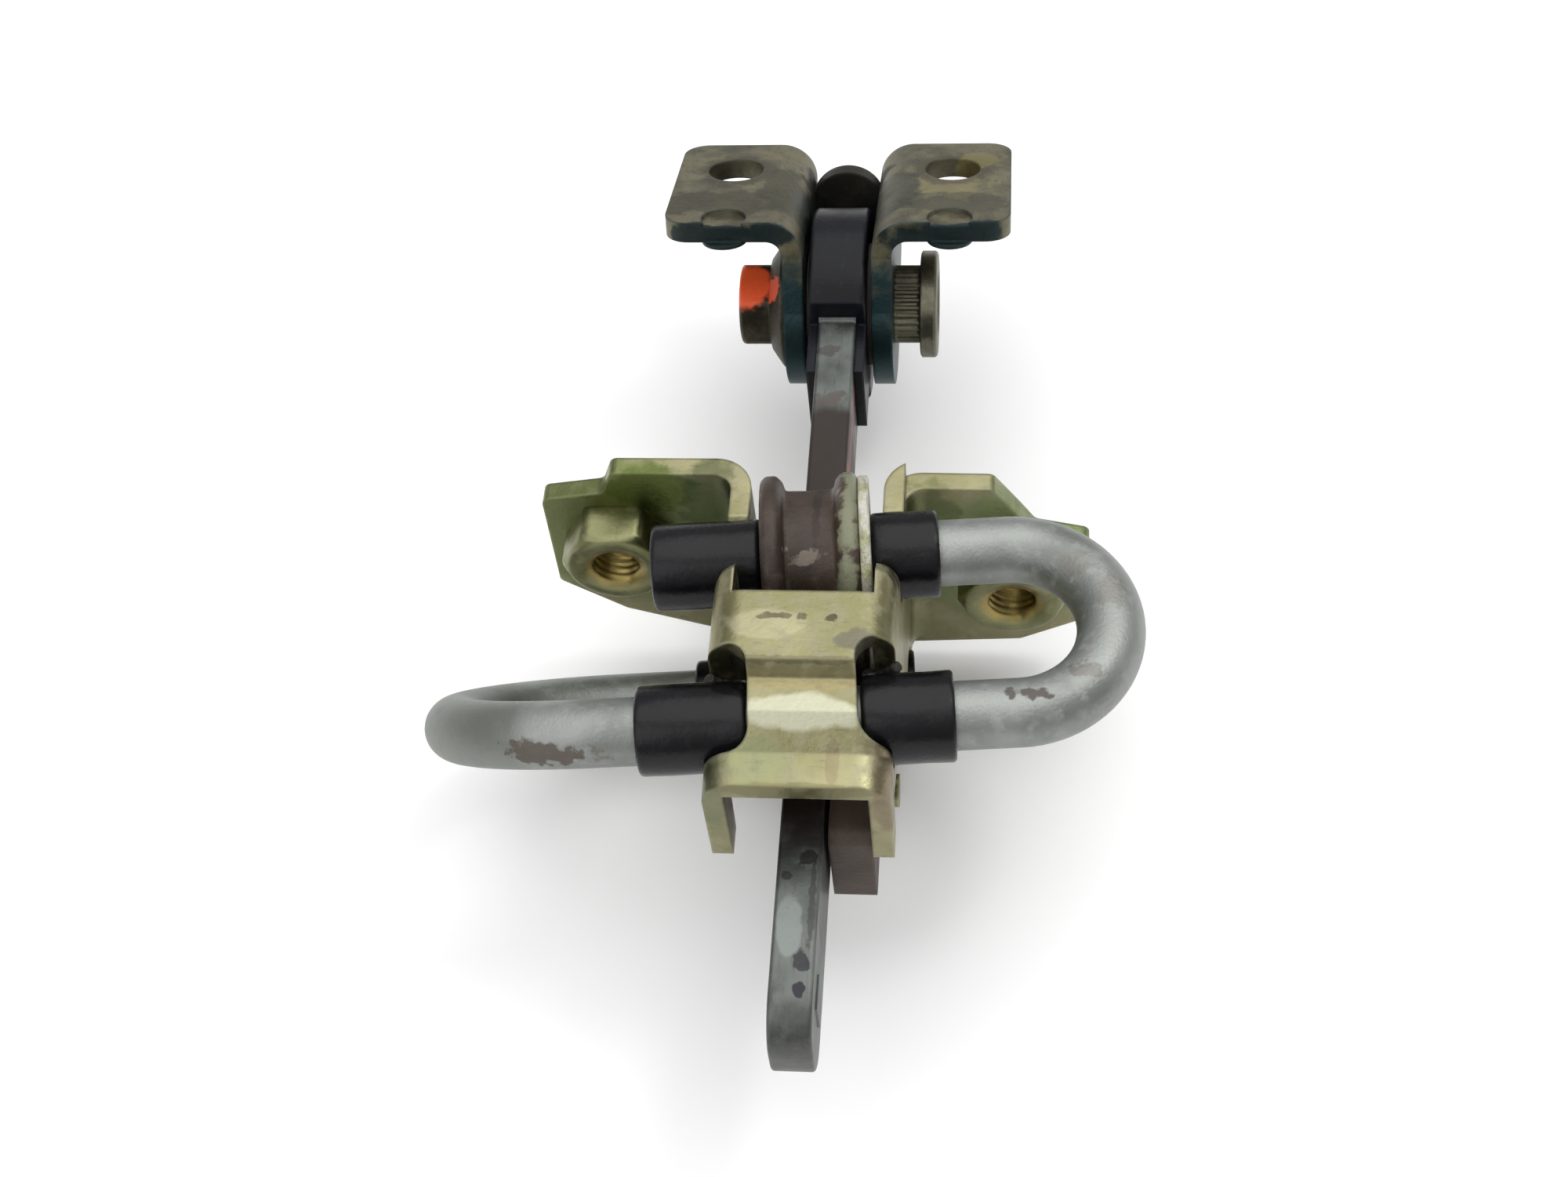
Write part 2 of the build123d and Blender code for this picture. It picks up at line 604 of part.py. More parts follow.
                # Seen from above the notch has rounded inner corners.
                with BuildSketch(Plane(origin=rod_point(start, leg), x_dir=ROD_X, z_dir=(0, 0, 1))):
                    with Locations((sign * 12.0, 0)):
                        RectangleRounded(24.0, 2 * NOTCH_R, 3.0)
                extrude(amount=CUT / 2, mode=Mode.SUBTRACT)
    # Nut pilots.
    with BuildSketch(facing(SHEET_T)):
        with Locations(*NUT_SPOTS.values()):
            Circle(NUT_PILOT_R)
    extrude(amount=SHEET_T, mode=Mode.SUBTRACT)
    # Rivet hole for the side guide.
    rivet_y = GUIDE_FRONT_Y + GUIDE_L - 5.0
    rivet_z = (GUIDE_TOP_Z + GUIDE_LOW_Z) / 2
    with BuildSketch(side(WALL_IN)):
        with Locations((rivet_y, rivet_z)):
            Circle(RIVET_R)
    extrude(amount=SHEET_T, mode=Mode.SUBTRACT)
save(holder_bracket.part, "holder_bracket")

for hand, spot in NUT_SPOTS.items():
    with BuildPart() as door_nut:
        with BuildSketch(facing(0)):
            with Locations(spot):
                RegularPolygon(NUT_AF / 2, 6, major_radius=False, rotation=30)
        extrude(amount=NUT_T)
        rim = door_nut.faces().sort_by(Axis.Y)[0].edges()
        chamfer(rim, 0.7)
        with BuildSketch(facing(0)):
            with Locations(spot):
                Circle(NUT_PILOT_R)
        extrude(amount=-(SHEET_T - 0.3))
        with BuildSketch(facing(SHEET_T)):
            with Locations(spot):
                Circle(NUT_BORE_R)
        extrude(amount=SHEET_T + NUT_T, mode=Mode.SUBTRACT)
        mouth = door_nut.edges().filter_by(GeomType.CIRCLE)
        mouth = mouth.filter_by(lambda e: abs(e.radius - NUT_BORE_R) < 0.01).sort_by(Axis.Y)
        chamfer(mouth[0], NUT_CHAMFER)
        chamfer(mouth[-1], NUT_CHAMFER)
    save(door_nut.part, f"door_nut_{hand}")


# ---- side guide -----------------------------------------------------------------

with BuildPart() as guide_block:
    guide_in = HALF_T + SWAGE_PROUD + GUIDE_GAP
    with BuildSketch(side(guide_in)):
        with BuildLine():
            Polyline(
                (GUIDE_FRONT_Y, GUIDE_LOW_Z),
                (GUIDE_FRONT_Y, GUIDE_TOP_Z),
                (GUIDE_FRONT_Y + GUIDE_L, GUIDE_TOP_Z),
                (GUIDE_FRONT_Y + GUIDE_L, GUIDE_LOW_Z),
                close=True,
            )
        make_face()
    extrude(amount=WALL_IN - guide_in)
    fillet(guide_block.edges().filter_by(Axis.X), 2.0)
    with BuildSketch(side(guide_in)):
        with Locations((rivet_y, rivet_z)):
            Circle(RIVET_R)
    extrude(amount=WALL_IN - guide_in, mode=Mode.SUBTRACT)
    with BuildSketch(side(guide_in)):
        with Locations((rivet_y, rivet_z)):
            Circle(RIVET_HEAD_R)
    extrude(amount=RIVET_HEAD_T, mode=Mode.SUBTRACT)
save(guide_block.part, "guide_block")

with BuildPart() as guide_rivet:
    with BuildSketch(side(guide_in)):
        with Locations((rivet_y, rivet_z)):
            Circle(RIVET_HEAD_R)
    extrude(amount=RIVET_HEAD_T)
    with BuildSketch(side(guide_in)):
        with Locations((rivet_y, rivet_z)):
            Circle(RIVET_R)
    extrude(amount=WALL_OUT - guide_in)
save(guide_rivet.part, "guide_rivet")
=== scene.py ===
"""Looks for a vehicle door check: plated clevis and holder, worn arm, grooved rollers and a bent torsion rod."""

import json
import logging
import math
from dataclasses import dataclass
from enum import Enum
from typing import Callable, Optional, Sequence, Union

import bpy
from mathutils import Matrix, Vector

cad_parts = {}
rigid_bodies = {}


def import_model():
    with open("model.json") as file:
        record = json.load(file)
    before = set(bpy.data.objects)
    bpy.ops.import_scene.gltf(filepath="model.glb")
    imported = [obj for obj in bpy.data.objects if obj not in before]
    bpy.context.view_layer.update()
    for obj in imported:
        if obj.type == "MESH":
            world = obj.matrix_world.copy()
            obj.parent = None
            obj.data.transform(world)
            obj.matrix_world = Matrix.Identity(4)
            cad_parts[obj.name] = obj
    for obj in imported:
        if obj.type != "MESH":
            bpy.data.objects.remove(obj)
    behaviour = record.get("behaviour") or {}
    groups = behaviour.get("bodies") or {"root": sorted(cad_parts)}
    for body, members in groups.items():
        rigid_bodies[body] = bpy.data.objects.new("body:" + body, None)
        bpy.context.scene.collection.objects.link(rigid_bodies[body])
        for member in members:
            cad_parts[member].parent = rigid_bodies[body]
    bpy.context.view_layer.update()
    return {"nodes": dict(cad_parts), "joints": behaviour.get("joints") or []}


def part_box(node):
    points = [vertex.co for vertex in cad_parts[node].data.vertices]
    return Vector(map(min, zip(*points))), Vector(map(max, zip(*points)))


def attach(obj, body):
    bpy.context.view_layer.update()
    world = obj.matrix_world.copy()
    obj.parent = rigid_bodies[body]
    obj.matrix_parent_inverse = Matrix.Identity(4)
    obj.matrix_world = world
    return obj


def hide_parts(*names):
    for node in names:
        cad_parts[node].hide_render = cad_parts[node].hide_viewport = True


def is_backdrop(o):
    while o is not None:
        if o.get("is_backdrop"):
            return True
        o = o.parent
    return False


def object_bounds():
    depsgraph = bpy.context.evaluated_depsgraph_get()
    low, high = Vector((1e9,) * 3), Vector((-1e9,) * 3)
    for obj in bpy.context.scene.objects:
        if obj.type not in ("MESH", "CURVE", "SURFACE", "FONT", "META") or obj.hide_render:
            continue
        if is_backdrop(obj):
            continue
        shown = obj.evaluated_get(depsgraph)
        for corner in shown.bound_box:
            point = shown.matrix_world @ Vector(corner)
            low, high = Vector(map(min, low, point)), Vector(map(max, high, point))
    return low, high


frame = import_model()

log = logging.getLogger("door_check")
MM = 0.001
Value = Union[float, Sequence[float], bpy.types.NodeSocket]


# ---- building node trees ---------------------------------------------------------


class Graph:
    """Short way to add nodes to one node tree and join them up."""

    def __init__(self, tree: bpy.types.NodeTree) -> None:
        """Args:
            tree: the node tree that the nodes go into.
        """
        self.tree = tree

    def feed(self, socket: bpy.types.NodeSocket, value: Value) -> None:
        """Links or sets one input.

        Args:
            socket: the input.
            value: another node's output, a number or a colour.
        """
        if isinstance(value, bpy.types.NodeSocket):
            self.tree.links.new(value, socket)
        elif socket.type == "RGBA" and not isinstance(value, (int, float)) and len(value) == 3:
            socket.default_value = (*value, 1.0)
        else:
            socket.default_value = value

    def node(self, kind: str, inputs: Optional[dict] = None, **settings: object) -> bpy.types.Node:
        """Adds a node.

        Args:
            kind: the node's type name.
            inputs: values or outputs for its inputs, by name or number.
            **settings: the node's own properties.

        Returns:
            The node.
        """
        made = self.tree.nodes.new(kind)
        for key, value in settings.items():
            setattr(made, key, value)
        for key, value in (inputs or {}).items():
            self.feed(made.inputs[key], value)
        return made

    def math(self, operation: str, a: Value, b: Value = 0.0, c: Value = 0.0) -> bpy.types.NodeSocket:
        """Adds a clamped Math node.

        Args:
            operation: the node's operation.
            a: first value.
            b: second value.
            c: third value.

        Returns:
            The result.
        """
        return self.node("ShaderNodeMath", {0: a, 1: b, 2: c}, operation=operation, use_clamp=True).outputs[0]

    def place(self) -> bpy.types.NodeSocket:
        """Returns the point being shaded, in the object's own frame."""
        return self.node("ShaderNodeTexCoord").outputs["Object"]

    def smooth(self, value: Value, low: Value, high: Value) -> bpy.types.NodeSocket:
        """Turns a value into a soft-edged mask.

        Args:
            value: the value.
            low: value where the mask is 0.
            high: value where it is 1.

        Returns:
            The mask.
        """
        inputs = {"Value": value, 1: low, 2: high}
        return self.node("ShaderNodeMapRange", inputs, interpolation_type="SMOOTHSTEP").outputs[0]

    def mix(self, mask: Value, a: Value, b: Value, blend: str = "MIX") -> bpy.types.NodeSocket:
        """Mixes two colours.

        Args:
            mask: share of the second colour.
            a: first colour.
            b: second colour.
            blend: the node's blend type.

        Returns:
            The mixed colour.
        """
        made = self.node("ShaderNodeMix", data_type="RGBA", blend_type=blend)
        self.feed(made.inputs[0], mask)
        self.feed(made.inputs[6], a)
        self.feed(made.inputs[7], b)
        return made.outputs[2]

    def blend_value(self, mask: Value, a: Value, b: Value) -> bpy.types.NodeSocket:
        """Mixes two numbers.

        Args:
            mask: share of the second number.
            a: first number.
            b: second number.

        Returns:
            The mixed number.
        """
        made = self.node("ShaderNodeMix", data_type="FLOAT")
        self.feed(made.inputs[0], mask)
        self.feed(made.inputs[2], a)
        self.feed(made.inputs[3], b)
        return made.outputs[0]

    def use(self, group: bpy.types.NodeTree, inputs: Optional[dict] = None) -> bpy.types.Node:
        """Places a node group.

        Args:
            group: the group.
            inputs: its inputs by name.

        Returns:
            The group's node.
        """
        made = self.node("ShaderNodeGroup")
        made.node_tree = group
        for key, value in (inputs or {}).items():
            self.feed(made.inputs[key], value)
        return made


class Effects:
    """The effects that several finishes share, each one a node group built once."""

    SCUFF_START = 0.75  # noise where a scratch starts, before the amount is taken off
    SCUFF_FULL = 0.78  # noise where a scratch is full
    PATCH_RIM = (1.15, 0.85)  # a patch fades in between these shares of its size
    EDGE_RANGE = (0.004, 0.06)  # bend of the normal that counts as an edge

    def __init__(self) -> None:
        """Builds every group."""
        self.mottle = self._mottle()
        self.scuff = self._scuff()
        self.patch = self._patch()
        self.edge = self._edge()
        self.relief = self._relief()

    @staticmethod
    def _group(name: str, inputs: dict, outputs: dict) -> tuple:
        """Starts a group.

        Args:
            name: the group's name.
            inputs: socket type and default of each input, by name.
            outputs: socket type of each output, by name.

        Returns:
            The group, its graph, its input node and its output node.
        """
        group = bpy.data.node_groups.new(name, "ShaderNodeTree")
        for key, (kind, default) in inputs.items():
            socket = group.interface.new_socket(key, in_out="INPUT", socket_type=kind)
            socket.default_value = default
        for key, kind in outputs.items():
            group.interface.new_socket(key, in_out="OUTPUT", socket_type=kind)
        graph = Graph(group)
        return group, graph, graph.node("NodeGroupInput").outputs, graph.node("NodeGroupOutput").inputs

    def _mottle(self) -> bpy.types.NodeTree:
        """Cloudy mask.

        Returns:
            Group with Shift, Scale, Low and High inputs and a Mask output.
        """
        group, g, given, out = self._group(
            "mottle",
            {
                "Shift": ("NodeSocketVector", (0, 0, 0)),
                "Scale": ("NodeSocketFloat", 200.0),
                "Low": ("NodeSocketFloat", 0.4),
                "High": ("NodeSocketFloat", 0.6),
            },
            {"Mask": "NodeSocketFloat"},
        )
        place = g.place()
        moved = g.node("ShaderNodeVectorMath", {0: place, 1: given["Shift"]}, operation="ADD").outputs[0]
        noise = g.node("ShaderNodeTexNoise", {"Vector": moved, "Scale": given["Scale"], "Detail": 5.0})
        g.feed(out["Mask"], g.smooth(noise.outputs[0], given["Low"], given["High"]))
        return group

    def _scuff(self) -> bpy.types.NodeTree:
        """Fine directional scratches.

        Returns:
            Group with Stretch, Scale and Amount inputs and a Mask output.
        """
        group, g, given, out = self._group(
            "scuff",
            {
                "Stretch": ("NodeSocketVector", (1, 1, 1)),
                "Scale": ("NodeSocketFloat", 900.0),
                "Amount": ("NodeSocketFloat", 0.3),
            },
            {"Mask": "NodeSocketFloat"},
        )
        place = g.place()
        drawn = g.node("ShaderNodeVectorMath", {0: place, 1: given["Stretch"]}, operation="MULTIPLY").outputs[0]
        noise = g.node(
            "ShaderNodeTexNoise",
            {"Vector": drawn, "Scale": given["Scale"], "Detail": 3.0, "Roughness": 0.7},
        )
        start = g.math("SUBTRACT", self.SCUFF_START, given["Amount"])
        g.feed(out["Mask"], g.smooth(noise.outputs[0], start, self.SCUFF_FULL))
        return group

    def _patch(self) -> bpy.types.NodeTree:
        """Ragged-edged zone about a point, for wear, dirt, painted highlights and painted shade that sit in one
        place.

        Returns:
            Group with Centre, Half, Ragged and Grain inputs and a Mask output.
        """
        group, g, given, out = self._group(
            "patch",
            {
                "Centre": ("NodeSocketVector", (0, 0, 0)),
                "Half": ("NodeSocketVector", (0.01, 0.01, 0.01)),
                "Ragged": ("NodeSocketFloat", 0.5),
                "Grain": ("NodeSocketFloat", 400.0),
            },
            {"Mask": "NodeSocketFloat"},
        )
        place = g.place()
        away = g.node("ShaderNodeVectorMath", {0: place, 1: given["Centre"]}, operation="SUBTRACT").outputs[0]
        part = g.node("ShaderNodeVectorMath", {0: away, 1: given["Half"]}, operation="DIVIDE").outputs[0]
        far = g.node("ShaderNodeVectorMath", {0: part}, operation="LENGTH").outputs["Value"]
        noise = g.node("ShaderNodeTexNoise", {"Vector": place, "Scale": given["Grain"], "Detail": 4.0})
        wander = g.node("ShaderNodeMath", {0: noise.outputs[0], 1: 0.5}, operation="SUBTRACT").outputs[0]
        wide = g.node("ShaderNodeMath", {0: wander, 1: given["Ragged"]}, operation="MULTIPLY").outputs[0]
        edge = g.node("ShaderNodeMath", {0: wide, 1: 4.0, 2: far}, operation="MULTIPLY_ADD").outputs[0]
        g.feed(out["Mask"], g.smooth(edge, *self.PATCH_RIM))
        return group

    def _edge(self) -> bpy.types.NodeTree:
        """Rounded look for sharp edges, and a mask of where they are.

        Returns:
            Group with Radius and Scale inputs, and Mask and Normal outputs.
        """
        group, g, given, out = self._group(
            "soft_edge",
            {"Radius": ("NodeSocketFloat", 0.0005), "Scale": ("NodeSocketFloat", 600.0)},
            {"Mask": "NodeSocketFloat", "Normal": "NodeSocketVector"},
        )
        bevel = g.node("ShaderNodeBevel", {"Radius": given["Radius"]}, samples=4).outputs[0]
        flat = g.node("ShaderNodeNewGeometry").outputs["Normal"]
        agree = g.node("ShaderNodeVectorMath", {0: bevel, 1: flat}, operation="DOT_PRODUCT").outputs["Value"]
        place = g.place()
        noise = g.node("ShaderNodeTexNoise", {"Vector": place, "Scale": given["Scale"], "Detail": 3.0})
        turned = g.math("SUBTRACT", 1.0, agree)
        broken = g.node("ShaderNodeMath", {0: turned, 1: noise.outputs[0]}, operation="MULTIPLY").outputs[0]
        g.feed(out["Mask"], g.smooth(broken, *self.EDGE_RANGE))
        g.feed(out["Normal"], bevel)
        return group

    def _relief(self) -> bpy.types.NodeTree:
        """Height of a slightly uneven, pitted surface.

        Returns:
            Group with Scale and Pits inputs and a Height output.
        """
        group, g, given, out = self._group(
            "relief",
            {"Scale": ("NodeSocketFloat", 900.0), "Pits": ("NodeSocketFloat", 0.3)},
            {"Height": "NodeSocketFloat"},
        )
        place = g.place()
        fine = g.node("ShaderNodeTexNoise", {"Vector": place, "Scale": given["Scale"], "Detail": 6.0}).outputs[0]
        cells = g.node("ShaderNodeTexVoronoi", {"Vector": place, "Scale": given["Scale"]}).outputs["Distance"]
        dents = g.node("ShaderNodeMapRange", {"Value": cells, 1: 0.0, 2: 0.25, 3: 1.0, 4: 0.0}).outputs[0]
        sunk = g.node("ShaderNodeMath", {0: dents, 1: given["Pits"]}, operation="MULTIPLY").outputs[0]
        g.feed(out["Height"], g.node("ShaderNodeMath", {0: fine, 1: sunk}, operation="SUBTRACT").outputs[0])
        return group


EFFECTS = Effects()


# ---- finishes --------------------------------------------------------------------


@dataclass(frozen=True)
class Spot:
    """One mark on a surface: where it is, how large, its colour and how strong.

    Fields are in millimetres in the part's frame, with the colour linear.
    """

    at: tuple
    half: tuple
    colour: tuple
    strength: float = 1.0
    ragged: float = 0.5
    grain: float = 450.0
    rough: Optional[float] = None
    bare: Optional[float] = None


@dataclass(frozen=True)
class Finish:
    """A surface finish made of a base, two cloudy tints, edge wear, scuffs and spots.

    Colours are linear. Sizes are in metres, and scales are in noise cells per metre.
    """

    name: str
    base: tuple
    tint: tuple
    second: tuple
    edge: tuple
    scuffed: tuple
    tint_scale: float = 120.0
    tint_range: tuple = (0.4, 0.65)
    second_scale: float = 320.0
    second_range: tuple = (0.5, 0.75)
    second_share: float = 0.6
    edge_radius: float = 0.0006
    edge_share: float = 0.6
    scuff_stretch: tuple = (1.0, 0.12, 1.0)
    scuff_scale: float = 1500.0
    scuff_amount: float = 0.2
    scuff_share: float = 0.5
    metal: float = 1.0
    rough: float = 0.45
    rough_swing: float = 0.15
    relief_scale: float = 1400.0
    relief_pits: float = 0.3
    relief_depth: float = 0.25
    coat: float = 0.0
    specular: float = 0.5
    spots: tuple = ()

    def material(self) -> bpy.types.Material:
        """Builds the material once and returns it afterwards.

        Returns:
            The material.
        """
        found = bpy.data.materials.get(self.name)
        if found:
            return found
        made = bpy.data.materials.new(self.name)
        made.use_nodes = True
        made.node_tree.nodes.clear()
        g = Graph(made.node_tree)
        low, high = self.tint_range
        cloud = g.use(EFFECTS.mottle, {"Scale": self.tint_scale, "Low": low, "High": high})
        fleck = g.use(
            EFFECTS.mottle,
            {
                "Scale": self.second_scale,
                "Low": self.second_range[0],
                "High": self.second_range[1],
                "Shift": (0.31, 0.17, 0.53),
            },
        )
        edge = g.use(EFFECTS.edge, {"Radius": self.edge_radius})
        scuff = g.use(
            EFFECTS.scuff, {"Stretch": self.scuff_stretch, "Scale": self.scuff_scale, "Amount": self.scuff_amount}
        )
        second = g.math("MULTIPLY", fleck.outputs[0], self.second_share)
        worn = g.math("MULTIPLY", edge.outputs["Mask"], self.edge_share)
        rubbed = g.math("MULTIPLY", scuff.outputs[0], self.scuff_share)
        colour = g.mix(cloud.outputs[0], self.base, self.tint)
        colour = g.mix(second, colour, self.second)
        colour = g.mix(rubbed, colour, self.scuffed)
        colour = g.mix(worn, colour, self.edge)
        swing = g.node(
            "ShaderNodeMath",
            {0: fleck.outputs[0], 1: self.rough_swing, 2: self.rough},
            operation="MULTIPLY_ADD",
        )
        rough: Value = swing.outputs[0]
        metal: Value = self.metal
        for spot in self.spots:
            zone = g.use(
                EFFECTS.patch,
                {
                    "Centre": [v * MM for v in spot.at],
                    "Half": [v * MM for v in spot.half],
                    "Ragged": spot.ragged,
                    "Grain": spot.grain,
                },
            )
            share = g.math("MULTIPLY", zone.outputs[0], spot.strength)
            colour = g.mix(share, colour, spot.colour)
            if spot.rough is not None:
                rough = g.blend_value(share, rough, spot.rough)
            if spot.bare is not None:
                metal = g.blend_value(share, metal, spot.bare)
        relief = g.use(EFFECTS.relief, {"Scale": self.relief_scale, "Pits": self.relief_pits})
        bump = g.node(
            "ShaderNodeBump",
            {
                "Strength": self.relief_depth,
                "Distance": 0.0003,
                "Height": relief.outputs[0],
                "Normal": edge.outputs["Normal"],
            },
        )
        shader = g.node("ShaderNodeBsdfPrincipled")
        g.feed(shader.inputs["Base Color"], colour)
        g.feed(shader.inputs["Roughness"], rough)
        g.feed(shader.inputs["Metallic"], metal)
        g.feed(shader.inputs["Normal"], bump.outputs[0])
        shader.inputs["Specular IOR Level"].default_value = self.specular
        shader.inputs["Coat Weight"].default_value = self.coat
        shader.inputs["Coat Roughness"].default_value = 0.3
        g.node("ShaderNodeOutputMaterial", {"Surface": shader.outputs[0]})
        return made


def srgb(red: float, green: float, blue: float) -> tuple:
    """Turns a 0 to 255 display colour into a linear one.

    Args:
        red: red, 0 to 255.
        green: green, 0 to 255.
        blue: blue, 0 to 255.

    Returns:
        The linear colour.
    """
    return tuple(((v / 255 + 0.055) / 1.055) ** 2.4 if v > 10 else v / 255 / 12.92 for v in (red, green, blue))


HOLDER_ZINC = Finish(
    name="holder_zinc",
    base=srgb(150, 145, 112),
    tint=srgb(130, 127, 93),
    second=srgb(164, 159, 133),
    edge=srgb(184, 182, 156),
    scuffed=srgb(94, 92, 76),
    tint_scale=95.0,
    tint_range=(0.36, 0.64),
    second_scale=420.0,
    second_range=(0.44, 0.7),
    second_share=0.6,
    edge_share=0.5,
    scuff_stretch=(0.22, 1.0, 0.22),
    scuff_amount=0.2,
    scuff_share=0.45,
    rough=0.36,
    rough_swing=0.2,
    relief_depth=0.16,
    spots=(
        # painted highlight: pale patch on the saddle crown, where its upward face catches the light, with a
        # little more roughness
        Spot((32.1, -45.0, 23.4), (8.4, 3.2, 3.0), srgb(194, 194, 172), 0.8, 0.2, 220.0, rough=0.48),
        Spot((31.5, -40.0, 22.4), (9.0, 1.4, 2.4), srgb(150, 138, 100), 0.5, 0.2, 240.0),
        Spot((39.4, -34.9, 24.6), (3.4, 1.6, 3.0), srgb(112, 108, 100), 0.6, 0.45, 320.0, rough=0.6),
        Spot((27.0, -32.5, 25.0), (5.0, 2.4, 3.0), srgb(174, 168, 138), 0.5, 0.2, 200.0),
        Spot((31.5, -54.2, 17.6), (12.0, 1.2, 3.0), srgb(112, 108, 76), 0.6, 0.25),
        Spot((35.5, -31.5, 25.0), (1.0, 0.7, 1.0), srgb(70, 62, 52), 0.8, 0.6, 700.0),
        Spot((28.6, -31.2, 25.0), (2.6, 0.5, 1.0), srgb(80, 72, 58), 0.7, 0.8, 700.0),
        Spot((32.0, -38.0, 24.6), (9.0, 0.5, 1.4), srgb(100, 94, 72), 0.5, 0.5, 600.0),
        Spot((36.5, -50.0, 19.5), (0.8, 3.4, 3.0), srgb(112, 92, 76), 0.3, 0.4, 400.0),
        Spot((26.0, -50.5, 19.5), (5.0, 3.0, 3.0), srgb(132, 138, 104), 0.5, 0.3, 260.0),
        Spot((19.4, -50.0, 14.0), (2.6, 6.5, 8.0), srgb(104, 110, 84), 0.6, 0.3, 260.0),
        Spot((43.9, -50.5, 14.0), (2.6, 6.5, 8.0), srgb(122, 104, 88), 0.55, 0.3, 260.0),
        Spot((-1.0, 0.0, 2.0), (19.0, 5.0, 18.0), srgb(104, 116, 70), 0.75, 0.15, 160.0),
        Spot((6.2, 0.0, 11.6), (7.0, 3.0, 4.6), srgb(84, 98, 44), 0.7, 0.3, 240.0),
        Spot((15.5, -1.0, 8.0), (5.0, 6.0, 10.0), srgb(66, 78, 48), 0.65, 0.3, 260.0),
        Spot((60.0, 0.0, -4.0), (18.0, 5.0, 16.0), srgb(108, 126, 82), 0.75, 0.15, 160.0),
        Spot((47.0, -1.0, 4.0), (5.0, 6.0, 9.0), srgb(80, 90, 56), 0.6, 0.3, 260.0),
        Spot((31.5, 0.0, -24.0), (20.0, 6.0, 5.0), srgb(138, 138, 96), 0.5, 0.3),
    ),
)

CLEVIS_ZINC = Finish(
    name="clevis_zinc",
    base=srgb(118, 114, 92),
    tint=srgb(88, 86, 70),
    second=srgb(142, 138, 114),
    edge=srgb(48, 72, 76),
    scuffed=srgb(50, 46, 40),
    tint_scale=110.0,
    tint_range=(0.36, 0.64),
    second_scale=300.0,
    second_range=(0.42, 0.72),
    second_share=0.55,
    edge_radius=0.0006,
    edge_share=0.7,
    scuff_amount=0.24,
    scuff_share=0.55,
    metal=0.85,
    rough=0.48,
    rough_swing=0.15,
    relief_depth=0.2,
    spots=(
        Spot((49.2, 63.9, 14.5), (7.0, 6.0, 4.0), srgb(158, 148, 106), 0.6, 0.4, 300.0, rough=0.42),
        Spot((49.5, 67.4, 9.5), (6.4, 6.4, 5.4), srgb(84, 78, 62), 0.7, 0.25, 340.0),
        Spot((13.5, 67.4, 9.5), (6.4, 6.4, 5.4), srgb(78, 74, 60), 0.7, 0.25, 340.0),
        Spot((11.0, 55.0, 14.5), (11.0, 5.0, 4.0), srgb(70, 66, 54), 0.6, 0.5, 300.0),
        Spot((51.0, 55.0, 15.0), (9.0, 4.0, 4.0), srgb(70, 68, 58), 0.55, 0.5, 300.0),
        Spot((22.6, 60.0, 12.0), (4.0, 12.0, 5.0), srgb(66, 66, 54), 0.6, 0.4, 260.0),
        Spot((40.4, 60.0, 12.0), (4.0, 12.0, 5.0), srgb(60, 62, 54), 0.6, 0.4, 260.0),
        Spot((53.5, 71.0, 8.0), (4.0, 3.0, 4.0), srgb(150, 140, 84), 0.5, 0.4, 300.0),
        Spot((31.5, 51.0, -5.5), (26.0, 19.0, 18.0), srgb(30, 54, 60), 0.95, 0.15, 260.0, rough=0.4),
        Spot((31.5, 70.0, 3.0), (7.0, 8.0, 12.0), srgb(26, 24, 24), 0.85, 0.3, 260.0, rough=0.6),
        Spot((12.0, 46.0, 17.0), (16.0, 2.6, 3.4), srgb(24, 42, 47), 0.9, 0.3, 300.0),
        Spot((51.0, 46.0, 17.0), (16.0, 2.6, 3.4), srgb(24, 42, 47), 0.9, 0.3, 300.0),
    ),
)

BOLT_ZINC = Finish(
    name="bolt_zinc",
    base=srgb(62, 58, 48),
    tint=srgb(47, 43, 37),
    second=srgb(82, 78, 65),
    edge=srgb(112, 107, 92),
    scuffed=srgb(52, 48, 42),
    tint_scale=160.0,
    metal=0.9,
    rough=0.45,
    spots=(
        Spot((16.4, 49.6, 2.0), (3.6, 4.2, 3.4), srgb(226, 84, 34), 1.0, 0.2, 500.0, rough=0.5, bare=0.0),
        Spot((20.6, 47.4, 3.6), (1.4, 2.4, 2.4), srgb(196, 72, 34), 1.0, 0.4, 700.0, rough=0.55, bare=0.0),
    ),
)

PIN_ZINC = Finish(
    name="pin_zinc",
    base=srgb(110, 108, 92),
    tint=srgb(82, 81, 70),
    second=srgb(144, 140, 118),
    edge=srgb(168, 164, 142),
    scuffed=srgb(52, 48, 42),
    tint_scale=160.0,
    metal=0.92,
    rough=0.42,
)

NUT_ZINC = Finish(
    name="nut_zinc",
    base=srgb(124, 124, 90),
    tint=srgb(102, 104, 72),
    second=srgb(152, 147, 112),
    edge=srgb(182, 178, 140),
    scuffed=srgb(88, 80, 54),
    tint_scale=140.0,
    rough=0.36,
    rough_swing=0.16,
    relief_depth=0.12,
    spots=(
        Spot((0.0, -2.0, 0.0), (4.7, 30.0, 4.7), srgb(150, 132, 78), 0.9, 0.1, 500.0, rough=0.3),
        Spot((60.0, -2.0, -8.0), (4.7, 30.0, 4.7), srgb(150, 132, 78), 0.9, 0.1, 500.0, rough=0.3),
    ),
)

